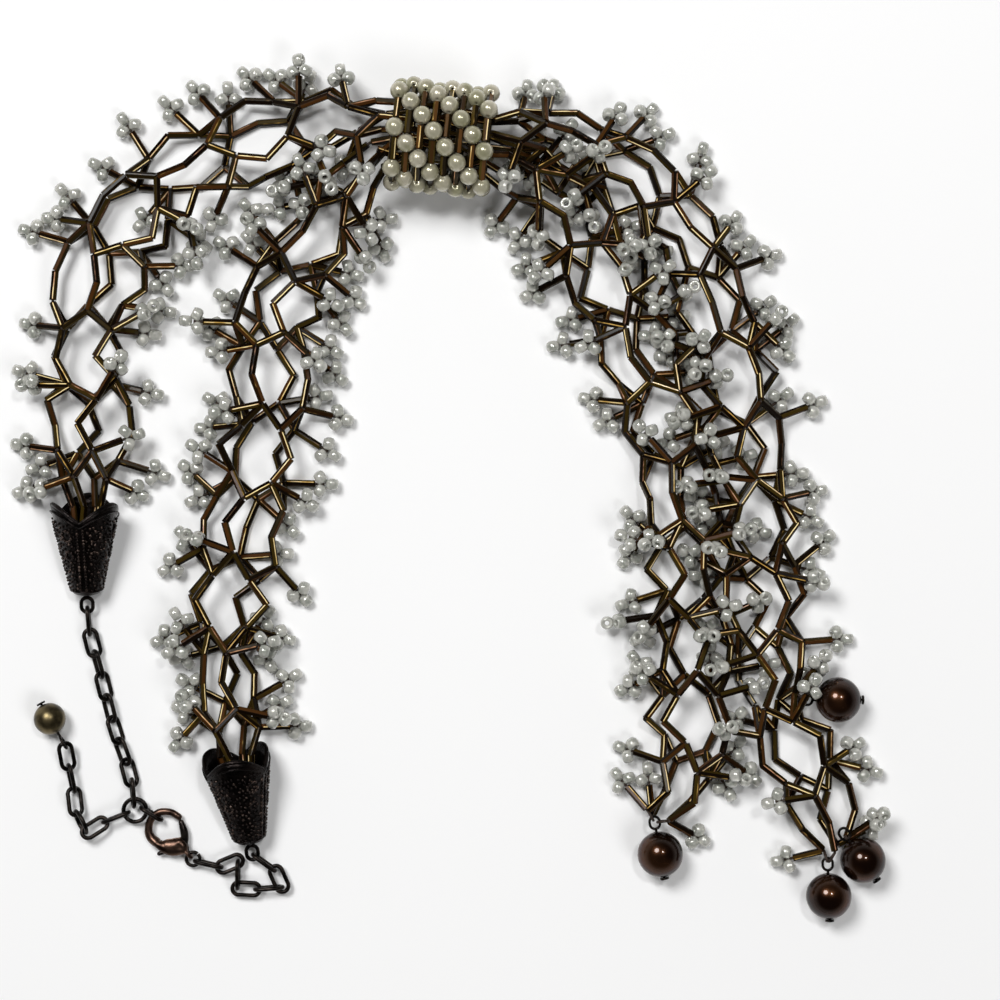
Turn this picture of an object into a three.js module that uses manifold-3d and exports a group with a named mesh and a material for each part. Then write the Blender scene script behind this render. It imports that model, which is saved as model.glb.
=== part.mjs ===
// A beaded lariat necklace, laid on a flat surface at its real size. Millimetres, +Z up.
//
// Two tubular nets of bronze bugle beads run side by side. Each net starts in an end cone, follows its own
// arm, passes through a slide of pearls and bugles, and hangs on as half of the double drop. Short branches
// stand out from the nets, each tipped with three white seed beads. Chains of oval links, an extender with
// a ball and a lobster clasp close the necklace, and four large pearls hang from the ends of the drop.
import * as THREE from 'three';
import { mergeVertices } from 'three/addons/utils/BufferGeometryUtils.js';
import Module from 'manifold-3d';

const wasm = await Module();
wasm.setup();

// ---- Driving dimensions ---------------------------------------------------------------------------------

const GAP = 0.3; // clearance between neighbouring pieces
const BUGLE_RADIUS = 0.85; // bugle bead, centre to corner
const BUGLE_PITCH = 7.0; // one bugle from junction to junction
const BAR_HALF = 0.65; // half the thickness of the square bar that stands for a bugle
const BRANCH_LENGTH = 9.0; // from a junction to the middle of the three seed beads at a branch's end
const PICOT_RADIUS = 2.7; // outer reach of the three seed beads
const PICOT_REST = 2.0; // least height of the middle of a branch's seed beads
const COLUMNS = 8; // lengthwise runs of bugles round a net
const RUN_SHARE = 0.92; // length of a run of two bugles along the net, against its beads' length
const SLANT_SHARE = 0.72; // the same for a slanting bugle
const CROWD_SHARE = 0.4; // how many more of the junctions carry a branch where branches crowd
const ROUNDS = 220; // steps in which the nets settle
const CLEAR = 0.6; // room between beads that lie beside each other
const FAN_WIDTH = 5.2; // least distance of the far ends of two beads that share a junction
const HOME_PULL = 0.04; // how firmly a net keeps to its route at each step
const HELD_PULL = 0.6; // the same where a cone or the slide holds it
const LINK = { length: 7.0, width: 3.7, wire: 0.8 };
const SPLIT_RING = { length: 6.2, width: 6.2, wire: 0.8 };
const JUMP_RING = { length: 6.0, width: 6.0, wire: 0.8 };
const HOOKED_LINK = { length: 6.2, width: 3.7, wire: 0.8 };
const RING = { length: 3.8, width: 3.8, wire: 0.7 };
const EYE = { length: 4.2, width: 3.4, wire: 0.8 };
const PEARL_RADIUS = 2.0; // pearls of the slide
const BIG_PEARL_RADIUS = 5.0;
const BALL_RADIUS = 3.5;
const BORE = 0.75; // radius of a hung bead's hole
const PIN = { length: 3.4, width: 3.4, wire: 0.7 };
const SLEEVE = { x: -2.3, y: 76.2, turn: -6, rings: 8, pitch: 2.8, beads: 7, wide: 10.7, high: 9.4 };
const SLEEVE_LIP = 1.0; // half the thickness of the beads of the first and the last ring
const CONE = { long: 18.5, mouth: 7.4, tip: 3.4, wall: 0.9, petals: 3, petalDepth: 3.6, lift: 0.1 };
const CLASP = { x: -58.0, y: -81.5, turn: 41.5, thickness: 3.4, railLow: 1.1, railHigh: 2.3 };

// The middle of the necklace's outline, from the lines below. The part is moved so that it lies over the
// origin.
const MIDDLE = { x: -0.888, y: -0.45 };

// The centre line of each net. x and y place it, wide and high are the half width and half height of the
// flattened tube there, and lift is how far its underside is above the surface.
const ROPE_A = [
  { x: -80.6, y: -10.5, wide: 2.4, high: 2.2, lift: 3.4 },
  { x: -80.8, y: -1.5, wide: 4.0, high: 3.0, lift: 3.0 },
  { x: -80.3, y: 9.0, wide: 7.0, high: 3.2, lift: 0.9 },
  { x: -79.3, y: 19.0, wide: 7.6, high: 3.2, lift: 0.9 },
  { x: -80.2, y: 30.0, wide: 7.4, high: 3.2, lift: 0.9 },
  { x: -79.3, y: 43.0, wide: 7.8, high: 3.2, lift: 0.9 },
  { x: -74.9, y: 54.4, wide: 8.0, high: 3.2, lift: 0.9 },
  { x: -67.1, y: 63.6, wide: 7.8, high: 3.2, lift: 0.9 },
  { x: -56.0, y: 70.6, wide: 7.8, high: 3.2, lift: 0.9 },
  { x: -44.9, y: 75.6, wide: 7.6, high: 3.2, lift: 0.9 },
  { x: -33.8, y: 78.9, wide: 6.6, high: 3.4, lift: 1.4 },
  { x: -23.5, y: 80.4, wide: 4.6, high: 3.8, lift: 4.2 },
  { x: -14.0, y: 81.2, wide: 2.9, high: 3.9, lift: 7.2 },
  { x: -2.0, y: 80.0, wide: 2.9, high: 3.9, lift: 7.2 },
  { x: 9.8, y: 78.7, wide: 2.9, high: 3.9, lift: 7.2 },
  { x: 20.0, y: 77.4, wide: 4.6, high: 3.8, lift: 5.6 },
  { x: 32.0, y: 73.2, wide: 6.4, high: 3.4, lift: 1.8 },
  { x: 43.0, y: 65.4, wide: 7.0, high: 3.2, lift: 0.9 },
  { x: 51.0, y: 56.0, wide: 7.0, high: 3.2, lift: 0.9 },
  { x: 56.8, y: 44.5, wide: 7.0, high: 3.2, lift: 0.9 },
  { x: 60.6, y: 31.0, wide: 7.0, high: 3.2, lift: 0.9 },
  { x: 63.8, y: 17.0, wide: 6.8, high: 3.2, lift: 0.9 },
  { x: 66.2, y: 3.0, wide: 6.8, high: 3.2, lift: 0.9 },
  { x: 67.4, y: -11.0, wide: 6.8, high: 3.2, lift: 0.9 },
  { x: 68.8, y: -25.0, wide: 6.8, high: 3.2, lift: 0.9 },
  { x: 70.2, y: -38.0, wide: 6.2, high: 3.2, lift: 0.9 },
  { x: 72.8, y: -51.0, wide: 5.8, high: 3.2, lift: 0.9 },
  { x: 79.0, y: -63.0, wide: 7.2, high: 3.0, lift: 0.9 },
  { x: 82.3, y: -72.0, wide: 5.0, high: 2.6, lift: 0.9 },
  { x: 84.2, y: -79.0, wide: 2.6, high: 2.0, lift: 1.9 },
];
const ROPE_B = [
  { x: -46.4, y: -65.1, wide: 2.4, high: 2.2, lift: 3.4 },
  { x: -47.7, y: -57.0, wide: 3.6, high: 3.0, lift: 3.2 },
  { x: -48.9, y: -48.0, wide: 5.2, high: 3.0, lift: 0.9 },
  { x: -50.3, y: -38.0, wide: 3.6, high: 3.0, lift: 0.9 },
  { x: -50.2, y: -28.0, wide: 6.6, high: 3.2, lift: 0.9 },
  { x: -48.2, y: -18.0, wide: 7.4, high: 3.2, lift: 0.9 },
  { x: -45.8, y: -8.0, wide: 7.2, high: 3.2, lift: 0.9 },
  { x: -43.2, y: 3.0, wide: 7.2, high: 3.2, lift: 0.9 },
  { x: -40.8, y: 14.0, wide: 7.2, high: 3.2, lift: 0.9 },
  { x: -40.2, y: 25.0, wide: 7.0, high: 3.2, lift: 0.9 },
  { x: -39.4, y: 36.0, wide: 7.2, high: 3.2, lift: 0.9 },
  { x: -35.4, y: 47.0, wide: 7.2, high: 3.2, lift: 0.9 },
  { x: -29.0, y: 57.0, wide: 6.2, high: 3.4, lift: 1.2 },
  { x: -22.0, y: 66.5, wide: 4.6, high: 3.8, lift: 4.0 },
  { x: -14.3, y: 73.5, wide: 2.9, high: 3.9, lift: 7.2 },
  { x: -2.6, y: 72.5, wide: 2.9, high: 3.9, lift: 7.2 },
  { x: 9.2, y: 71.2, wide: 2.9, high: 3.9, lift: 7.2 },
  { x: 18.0, y: 68.0, wide: 4.6, high: 3.8, lift: 5.0 },
  { x: 26.0, y: 60.0, wide: 6.4, high: 3.4, lift: 1.6 },
  { x: 32.2, y: 49.5, wide: 7.0, high: 3.2, lift: 0.9 },
  { x: 38.0, y: 38.5, wide: 7.0, high: 3.2, lift: 0.9 },
  { x: 42.8, y: 26.5, wide: 7.0, high: 3.2, lift: 0.9 },
  { x: 46.8, y: 14.0, wide: 6.8, high: 3.2, lift: 0.9 },
  { x: 50.0, y: 1.0, wide: 6.8, high: 3.2, lift: 0.9 },
  { x: 51.4, y: -12.0, wide: 6.8, high: 3.2, lift: 0.9 },
  { x: 51.8, y: -26.0, wide: 6.8, high: 3.2, lift: 0.9 },
  { x: 53.0, y: -40.0, wide: 7.0, high: 3.2, lift: 0.9 },
  { x: 53.6, y: -53.0, wide: 7.4, high: 3.2, lift: 0.9 },
  { x: 51.0, y: -64.0, wide: 5.6, high: 3.0, lift: 0.9 },
  { x: 45.8, y: -72.5, wide: 2.6, high: 2.0, lift: 1.9 },
];

// Stretches of each net, from its start: bare ones carry no branches, inside the cone and inside the slide,
// and crowded ones carry more of them, above the cone and on both sides of the slide.
ROPE_A.bare = [[-5, 9], [132, 162]];
ROPE_A.crowded = [[0, 25], [105, 195]];
ROPE_B.bare = [[-5, 12], [138, 170]];
ROPE_B.crowded = [[0, 35], [105, 195]];

// Beads that hang on a headpin, whose wire is turned into an eye. turn is the way from the bead to its eye,
// neck is the bare wire between them, and spin is how the eye is turned about the pin.
const HUNG = [
  { name: 'brown_pearl_1', x: 45.8, y: -80.6, radius: BIG_PEARL_RADIUS, turn: 100, neck: 0.4, spin: 0 },
  { name: 'brown_pearl_2', x: 82.9, y: -89.8, radius: BIG_PEARL_RADIUS, turn: 92, neck: 0.4, spin: 0 },
  { name: 'brown_pearl_3', x: 90.4, y: -81.9, radius: BIG_PEARL_RADIUS, turn: 125, neck: 0.4, spin: 0 },
  { name: 'brown_pearl_4', x: 85.0, y: -46.6, radius: BIG_PEARL_RADIUS, turn: 180, neck: 0.4, spin: 0 },
  { name: 'extender_ball', x: -88.9, y: -50.9, radius: BALL_RADIUS, turn: -60, neck: 1.0, spin: 90 },
];

// Where each cone lies: the middle of its mouth over the surface, and which way its tip points.
const CONES = [
  { name: 'cone_a', x: -80.6, y: -4.6, turn: -90.5, spin: 90 },
  { name: 'cone_b', x: -47.4, y: -59.6, turn: -81.5, spin: 30 },
];
const CONE_TILT = Math.asin((CONE.mouth - CONE.tip) / CONE.long);

// Each row is a place where two links hang in each other. z is its height over the surface, turn is how the
// link that starts there leans about its own length, and hook is how far the link that ends there reaches
// past the place. The link that starts there reaches back as far as is left of HOOKED.
const HOOKED = 1.15;
const CHAIN = [
  { x: -80.8, y: -26.3, z: 2.3, turn: 85, hook: 1.15 },
  { x: -80.4, y: -31.9, z: 1.8, turn: -10, hook: 0.58 },
  { x: -79.2, y: -36.6, z: 1.7, turn: 60, hook: 0.58 },
  { x: -77.9, y: -41.4, z: 1.5, turn: -35, hook: 0.58 },
  { x: -76.7, y: -46.3, z: 1.3, turn: 45, hook: 0.58 },
  { x: -75.5, y: -51.2, z: 1.3, turn: -45, hook: 0.58 },
  { x: -74.0, y: -56.0, z: 1.3, turn: 40, hook: 0.58 },
  { x: -72.3, y: -60.7, z: 1.3, turn: -30, hook: 0.58 },
  { x: -71.0, y: -65.3, z: 1.7, turn: 75, hook: 0.58 },
  { x: -70.6, y: -69.8, z: 1.9, hook: 0.4 },
];
const EXTENDER = [
  { x: -71.65, y: -71.7, z: 1.9, turn: 90, hook: 1.15 },
  { x: -77.4, y: -74.0, z: 2.0, turn: 10, hook: 0 },
  { x: -80.9, y: -76.2, z: 2.9, turn: -68, hook: 1.15, size: SPLIT_RING },
  { x: -83.2, y: -71.8, z: 2.6, turn: 22, hook: 0.5 },
  { x: -83.9, y: -66.8, z: 1.9, turn: -68, hook: 0.6 },
  { x: -84.9, y: -61.8, z: 2.1, turn: 14, hook: 0.65 },
  { x: -85.75, y: -56.2, z: 3.4, hook: 0 },
];
const PILE = [
  { x: -57.1, y: -82.5, z: 1.9, turn: 90, hook: 1.15 },
  { x: -51.1, y: -83.9, z: 1.9, turn: 0, hook: 0 },
  { x: -47.5, y: -82.4, z: 1.9, turn: 90, hook: 1.15 },
  { x: -47.6, y: -88.6, z: 1.9, turn: 0, hook: 0 },
  { x: -43.8, y: -88.8, z: 1.9, turn: 90, hook: 1.15 },
  { x: -37.6, y: -88.3, z: 1.9, turn: 0, hook: 0 },
  { x: -39.2, y: -84.7, z: 1.9, turn: 90, hook: 1.15 },
  { x: -44.2, y: -81.0, z: 2.3, hook: 0 },
];

// The ring that joins the chain, the extender and the link in the clasp, and that link, which stands on
// edge. turn is where each points, and lean is how it is turned about its own length.
const JOINERS = [
  { name: 'jump_ring', x: -70.3, y: -71.3, z: 1.9, turn: 0, lean: 0, size: JUMP_RING, steps: 12 },
  { name: 'hooked_link', x: -66.7, y: -72.05, z: 1.85, turn: -31.46, lean: 90, size: HOOKED_LINK, steps: 8 },
];

// In the clasp's own frame: the lever's pin and the hole round it, and the heights of the slot and of the
// lever.
const PIVOT = { x: 0.4, y: 2.9, pin: 0.5, hole: 0.8 };
const SLOT = { low: 0.9, high: 2.5 };
const LEVER = { low: 1.2, high: 2.2 };

// The bar and the three seed beads of a branch, as places along it and how far the skin stands off there.
const TWIG = [
  { share: 0.8, reach: 0.9 },
  { share: 0.95, reach: 2.4 },
  { share: 1.25, reach: 1.2 },
];

// ---- Where every bead of the nets lies ------------------------------------------------------------------

const turnOf = (degrees) => (degrees * Math.PI) / 180;

// A repeatable number from 0 to 1 for each whole number n.
function chance(n) {
  const wave = Math.sin(n * 12.9898) * 43758.5453;
  return wave - Math.floor(wave);
}

// A smooth line through the rows of a net, measured along its length.
function routeOf(rows) {
  const keys = ['x', 'y', 'wide', 'high', 'lift'];
  const steps = 12;
  const samples = [];
  for (let i = 0; i < rows.length - 1; i++) {
    for (let k = 0; k < steps; k++) {
      const t = k / steps;
      const near = [rows[Math.max(i - 1, 0)], rows[i], rows[i + 1], rows[Math.min(i + 2, rows.length - 1)]];
      samples.push(keys.map((key) => {
        const [p, q, r, s] = near.map((row) => row[key]);
        const [bend, twist] = [2 * p - 5 * q + 4 * r - s, 3 * q - p - 3 * r + s];
        return 0.5 * (2 * q + (r - p) * t + bend * t * t + twist * t ** 3);
      }));
    }
  }
  samples.push(keys.map((key) => rows[rows.length - 1][key]));
  const along = [0];
  for (let i = 1; i < samples.length; i++) {
    const [last, next] = [samples[i - 1], samples[i]];
    along.push(along[i - 1] + Math.hypot(next[0] - last[0], next[1] - last[1]));
  }
  const at = (length) => {
    let i = 1;
    while (i < along.length - 1 && along[i] < length) i++;
    const share = (length - along[i - 1]) / (along[i] - along[i - 1]);
    const [last, next] = [samples[i - 1], samples[i]];
    const [x, y, wide, high, lift] = next.map((v, k) => last[k] + (v - last[k]) * share);
    const run = [next[0] - last[0], next[1] - last[1]];
    const size = Math.hypot(...run);
    return { x, y, wide, high, lift, ahead: [run[0] / size, run[1] / size] };
  };
  return { at, length: along[along.length - 1] };
}

// One net on its route: its points, the bugles from junction to junction, and its branches. At every level
// the columns take turns to carry a run of two bugles, and slanting bugles tie each run to the runs beside
// it.
function netOf(rows, seed) {
  const route = routeOf(rows);
  const net = { points: [], bugles: [], branches: [], at: [], out: [], band: [], middle: [], held: [] };
  const isIn = (lengths, along) => lengths.some(([from, to]) => along > from && along < to);
  const put = (along, angle, bulge, band) => {
    const r = route.at(along);
    const reach = isIn(rows.bare, along) ? bulge * 0.1 : bulge;
    const out = [r.ahead[1] * Math.cos(angle), -r.ahead[0] * Math.cos(angle), Math.sin(angle)];
    net.points.push([
      r.x + out[0] * (r.wide + reach),
      r.y + out[1] * (r.wide + reach),
      r.lift + r.high + out[2] * (r.high + reach * 0.3),
    ]);
    net.at.push(along);
    net.out.push(out);
    net.band.push(band);
    net.middle.push(bulge > 0);
    net.held.push(isIn(rows.bare, along));
    return net.points.length - 1;
  };
  // The levels are stretched a little, so that the last one ends where the route does.
  const natural = [0];
  const fullRun = 2 * BUGLE_PITCH * RUN_SHARE;
  while (natural[natural.length - 1] + fullRun < route.length + 6) {
    const r = route.at(natural[natural.length - 1] + BUGLE_PITCH);
    const spread = (2 * Math.PI * Math.sqrt((r.wide ** 2 + r.high ** 2) / 2)) / COLUMNS;
    const slant = Math.sqrt(Math.max(BUGLE_PITCH ** 2 - spread ** 2, 9)) * SLANT_SHARE;
    natural.push(natural[natural.length - 1] + fullRun + slant);
  }
  natural.pop();
  const stretch = route.length / (natural[natural.length - 1] + fullRun);
  const run = fullRun * stretch;
  let ends = [];
  // A band is the ring of slanting bugles between two levels, with the halves of the runs that meet it.
  natural.forEach((place, level) => {
    const along = place * stretch;
    const starts = [];
    const nextEnds = [];
    for (let column = level % 2; column < COLUMNS; column += 2) {
      const key = seed + level * 40 + column * 5;
      const angle = ((column + 0.5) * 2 * Math.PI) / COLUMNS + (chance(key) - 0.5) * 0.5 + level * 0.13;
      const loose = level > 0 && level < natural.length - 1;
      const shift = loose ? (chance(key + 1) - 0.5) * 2.4 : 0;
      const start = put(along + shift, angle, 0, level);
      const middle = put(along + shift + run / 2, angle + (chance(key + 2) - 0.5) * 0.8, 1.2, level);
      const end = put(along + shift + run, angle, 0, level + 1);
      net.bugles.push([start, middle], [middle, end]);
      starts[column] = start;
      nextEnds[column] = end;
      for (const [root, share] of [[start, 0.74], [end, 0.52]]) {
        const spotAlong = net.at[root];
        const most = share + (isIn(rows.crowded, spotAlong) ? CROWD_SHARE : 0);
        if (isIn(rows.bare, spotAlong) || chance(key + 3 + share) > most) continue;
        const spot = route.at(spotAlong);
        const side = Math.sign(Math.cos(angle)) * (0.55 + 0.45 * Math.abs(Math.cos(angle)));
        const drift = (chance(key + 4 + share) - 0.5) * 1.3;
        const rise = Math.sin(angle) > 0 ? 0.15 + 0.55 * chance(key + 7 + share) : 0;
        const way = new THREE.Vector3(
          spot.ahead[1] * side + spot.ahead[0] * drift,
          -spot.ahead[0] * side + spot.ahead[1] * drift,
          rise,
        ).normalize();
        const from = net.points[root];
        net.points.push([
          from[0] + way.x * BRANCH_LENGTH,
          from[1] + way.y * BRANCH_LENGTH,
          from[2] + way.z * BRANCH_LENGTH,
        ]);
        net.at.push(spotAlong);
        net.out.push(net.out[root]);
        net.band.push(net.band[root]);
        net.middle.push(false);
        net.held.push(false);
        net.branches.push([root, net.points.length - 1]);
      }
    }
    for (let column = level % 2; column < COLUMNS; column += 2) {
      for (const beside of [(column + COLUMNS - 1) % COLUMNS, (column + 1) % COLUMNS]) {
        if (ends[beside] !== undefined) net.bugles.push([ends[beside], starts[column]]);
      }
    }
    ends = nextEnds;
  });
  return net;
}

// The nearest points of two straight pieces, as the share along each.
function nearest(a, b, c, d) {
  const u = [b[0] - a[0], b[1] - a[1], b[2] - a[2]];
  const v = [d[0] - c[0], d[1] - c[1], d[2] - c[2]];
  const w = [a[0] - c[0], a[1] - c[1], a[2] - c[2]];
  const uu = u[0] * u[0] + u[1] * u[1] + u[2] * u[2] + 1e-9;
  const uv = u[0] * v[0] + u[1] * v[1] + u[2] * v[2];
  const vv = v[0] * v[0] + v[1] * v[1] + v[2] * v[2] + 1e-9;
  const uw = u[0] * w[0] + u[1] * w[1] + u[2] * w[2];
  const vw = v[0] * w[0] + v[1] * w[1] + v[2] * w[2];
  const clamp = (x) => Math.min(Math.max(x, 0), 1);
  let s = clamp((uv * vw - vv * uw) / (uu * vv - uv * uv + 1e-6));
  const t = clamp((uv * s + vw) / vv);
  s = clamp((uv * t - uw) / uu);
  return [s, t];
}

// The far ends of the beads that meet in one junction, two by two: they spread like a fan, because beads on
// one thread can't fold together.
function fansOf(rods, size) {
  const meeting = Array.from({ length: size }, () => []);
  for (const [i, j] of rods) {
    meeting[i].push(j);
    meeting[j].push(i);
  }
  const fans = [];
  for (const far of meeting) {
    for (let m = 0; m < far.length; m++) {
      for (let n = m + 1; n < far.length; n++) fans.push([far[m], far[n]]);
    }
  }
  return fans;
}

// The nets settle: every bead keeps its length, no two beads run into each other, and all of them stay
// above the surface while they are drawn gently to their places on the route and downwards.
function settle(nets, balls) {
  const points = [];
  const homes = [];
  const free = [];
  const firm = [];
  const rods = [];
  const pieces = [];
  for (const net of nets) {
    const first = points.length;
    net.first = first;
    net.points.forEach((p, i) => {
      points.push([...p]);
      homes.push([...p]);
      free.push(0);
      firm.push(net.held[i] ? HELD_PULL : HOME_PULL);
    });
    net.branches.forEach(([root, tip]) => {
      free[first + tip] = 1;
      rods.push([first + root, first + tip, BRANCH_LENGTH]);
      pieces.push([first + root, first + tip, BUGLE_RADIUS]);
      pieces.push([first + tip, first + tip, PICOT_RADIUS]);
    });
    net.bugles.forEach(([i, j]) => {
      rods.push([first + i, first + j, BUGLE_PITCH]);
      pieces.push([first + i, first + j, BUGLE_RADIUS]);
    });
  }
  for (const { x, y, radius, turn, neck } of balls) {
    const reach = radius + neck + PIN.length / 2;
    const eye = [x + Math.cos(turnOf(turn)) * reach, y + Math.sin(turnOf(turn)) * reach, radius];
    for (const [spot, size] of [[[x, y, radius], radius], [eye, PIN.length / 2]]) {
      points.push([...spot]);
      homes.push([...spot]);
      free.push(0);
      firm.push(1);
      pieces.push([points.length - 1, points.length - 1, size]);
    }
  }
  const fans = fansOf(rods, points.length);
  let pairs = [];
  for (let round = 0; round < ROUNDS; round++) {
    if (round % 15 === 0) pairs = nearPairs(points, pieces);
    const move = points.map(() => [0, 0, 0]);
    const count = points.map(() => 0);
    const push = (i, x, y, z, weight) => {
      move[i][0] += x * weight;
      move[i][1] += y * weight;
      move[i][2] += z * weight;
      count[i] += weight > 0 ? 1 : 0;
    };
    for (const [i, j, length] of rods) {
      const p = points[i];
      const q = points[j];
      const gap = [q[0] - p[0], q[1] - p[1], q[2] - p[2]];
      const size = Math.sqrt(gap[0] * gap[0] + gap[1] * gap[1] + gap[2] * gap[2]) + 1e-9;
      const change = (size - length) / size / 2;
      push(i, gap[0] * change, gap[1] * change, gap[2] * change, 1);
      push(j, -gap[0] * change, -gap[1] * change, -gap[2] * change, 1);
    }
    for (const [i, j] of fans) {
      const p = points[i];
      const q = points[j];
      const gap = [q[0] - p[0], q[1] - p[1], q[2] - p[2]];
      const size = Math.sqrt(gap[0] * gap[0] + gap[1] * gap[1] + gap[2] * gap[2]) + 1e-9;
      if (size >= FAN_WIDTH) continue;
      const change = (size - FAN_WIDTH) / size / 2;
      push(i, gap[0] * change, gap[1] * change, gap[2] * change, 1);
      push(j, -gap[0] * change, -gap[1] * change, -gap[2] * change, 1);
    }
    for (const [m, n] of pairs) {
      const [a, b, thick] = pieces[m];
      const [c, d, thin] = pieces[n];
      const [s, t] = nearest(points[a], points[b], points[c], points[d]);
      const away = [0, 1, 2].map((k) => {
        const one = points[a][k] + (points[b][k] - points[a][k]) * s;
        return one - (points[c][k] + (points[d][k] - points[c][k]) * t);
      });
      const size = Math.sqrt(away[0] * away[0] + away[1] * away[1] + away[2] * away[2]) + 1e-9;
      const missing = thick + thin + CLEAR - size;
      if (missing <= 0) continue;
      const [x, y, z] = away.map((v) => (v / size) * missing * 0.5);
      push(a, x, y, z, 1 - s);
      push(b, x, y, z, s);
      push(c, -x, -y, -z, 1 - t);
      push(d, -x, -y, -z, t);
    }
    points.forEach((p, i) => {
      const share = count[i] > 0 ? 1.3 / count[i] : 0;
      const pull = free[i] ? 0 : firm[i];
      for (let k = 0; k < 3; k++) p[k] += move[i][k] * share * (1 - pull) + (homes[i][k] - p[k]) * pull;
      p[2] -= free[i] ? 0.05 : 0;
      const least = free[i] ? PICOT_REST : BUGLE_RADIUS;
      if (p[2] < least) p[2] = least;
    });
  }
  for (const net of nets) net.points = points.slice(net.first, net.first + net.points.length);
}

// Pieces that are near enough to meet while the nets settle. Beads on one junction are left out.
function nearPairs(points, pieces) {
  const spots = pieces.map(([i, j, radius]) => {
    const p = points[i];
    const q = points[j];
    const reach = Math.sqrt((p[0] - q[0]) ** 2 + (p[1] - q[1]) ** 2 + (p[2] - q[2]) ** 2) / 2 + radius;
    return [(p[0] + q[0]) / 2, (p[1] + q[1]) / 2, (p[2] + q[2]) / 2, reach];
  });
  const pairs = [];
  for (let m = 0; m < pieces.length; m++) {
    const [a, b] = pieces[m];
    for (let n = m + 1; n < pieces.length; n++) {
      const [c, d] = pieces[n];
      if (a === c || a === d || b === c || b === d) continue;
      const far = spots[m][3] + spots[n][3] + 1.5;
      const x = spots[m][0] - spots[n][0];
      const y = spots[m][1] - spots[n][1];
      const z = spots[m][2] - spots[n][2];
      if (x * x + y * y + z * z < far * far) pairs.push([m, n]);
    }
  }
  return pairs;
}

// ---- Making solids --------------------------------------------------------------------------------------

const { Manifold, Mesh } = wasm;
const necklace = new THREE.Group();
necklace.name = 'beaded_necklace';
const UP = new THREE.Vector3(0, 0, 1);

function solid(geometry) {
  geometry.deleteAttribute('normal');
  geometry.deleteAttribute('uv');
  const merged = mergeVertices(geometry, 1e-4);
  return new Manifold(new Mesh({
    numProp: 3,
    vertProperties: new Float32Array(merged.attributes.position.array),
    triVerts: new Uint32Array(merged.index.array),
  }));
}

function add(name, body, material) {
  const found = body.translate([-MIDDLE.x, -MIDDLE.y, 0]).getMesh();
  const geometry = new THREE.BufferGeometry();
  geometry.setAttribute('position', new THREE.BufferAttribute(found.vertProperties, 3));
  geometry.setIndex(new THREE.BufferAttribute(found.triVerts, 1));
  geometry.computeVertexNormals();
  const mesh = new THREE.Mesh(geometry, material);
  mesh.name = name;
  necklace.add(mesh);
}

const finish = (color, metalness, roughness) =>
  new THREE.MeshStandardMaterial({ color, metalness, roughness });
const BRONZE_GLASS = finish(0x4a3018, 0.5, 0.3);
const CREAM_PEARL = finish(0xddd5b4, 0.1, 0.3);
const BROWN_PEARL = finish(0x3b1d12, 0.3, 0.2);
const DARK_METAL = finish(0x2b2320, 0.9, 0.45);
const COPPER = finish(0x6e4630, 0.9, 0.4);
const OLD_BRASS = finish(0x5d5238, 0.9, 0.4);

// A straight bar with flat sides from one point to another.
function bar(from, to, radius, sides) {
  const way = to.clone().sub(from);
  const geometry = new THREE.CylinderGeometry(radius, radius, way.length(), sides);
  const up = new THREE.Vector3(0, 1, 0);
  geometry.applyQuaternion(new THREE.Quaternion().setFromUnitVectors(up, way.normalize()));
  const middle = from.clone().add(to).multiplyScalar(0.5);
  return solid(geometry.translate(middle.x, middle.y, middle.z));
}

// An oval wire link round two points, with its flat side turned about the line between them. A ring is a link
// whose length is its width.
function oval(centre, ahead, turn, { length, width, wire }, steps = 8) {
  const bend = (width - wire) / 2;
  const straight = (length - width) / 2;
  const geometry = new THREE.TorusGeometry(bend, wire / 2, 5, steps).rotateZ(Math.PI / steps);
  const spots = geometry.attributes.position;
  for (let i = 0; i < spots.count; i++) {
    spots.setX(i, spots.getX(i) + Math.sign(Math.round(spots.getX(i) * 1e4)) * straight);
  }
  const x = ahead.clone().normalize();
  const flat = new THREE.Vector3().crossVectors(UP, x).normalize();
  const y = flat.applyAxisAngle(x, turnOf(turn));
  geometry.applyMatrix4(new THREE.Matrix4().makeBasis(x, y, new THREE.Vector3().crossVectors(x, y)));
  return solid(geometry.translate(centre.x, centre.y, centre.z));
}

// ---- The nets as solids ---------------------------------------------------------------------------------

const nets = { a: netOf(ROPE_A, 100), b: netOf(ROPE_B, 5000) };
settle([nets.a, nets.b], HUNG);

// Each net is joined along its thread in lengths, each from one band of the net up to another.
const LENGTHS = [
  { name: 'arm_a_1', net: 'a', from: 0, to: 3 },
  { name: 'arm_a_2', net: 'a', from: 3, to: 5 },
  { name: 'arm_a_3', net: 'a', from: 5, to: 7 },
  { name: 'arm_a_4', net: 'a', from: 7, to: 10 },
  { name: 'drop_a_1', net: 'a', from: 10, to: 13 },
  { name: 'drop_a_2', net: 'a', from: 13, to: 15 },
  { name: 'drop_a_3', net: 'a', from: 15, to: 17 },
  { name: 'drop_a_4', net: 'a', from: 17, to: 40 },
  { name: 'arm_b_1', net: 'b', from: 0, to: 3 },
  { name: 'arm_b_2', net: 'b', from: 3, to: 5 },
  { name: 'arm_b_3', net: 'b', from: 5, to: 7 },
  { name: 'arm_b_4', net: 'b', from: 7, to: 10 },
  { name: 'drop_b_1', net: 'b', from: 10, to: 13 },
  { name: 'drop_b_2', net: 'b', from: 13, to: 15 },
  { name: 'drop_b_3', net: 'b', from: 15, to: 18 },
  { name: 'drop_b_4', net: 'b', from: 18, to: 40 },
];

const vectorOf = (p) => new THREE.Vector3(p[0], p[1], p[2]);

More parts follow.
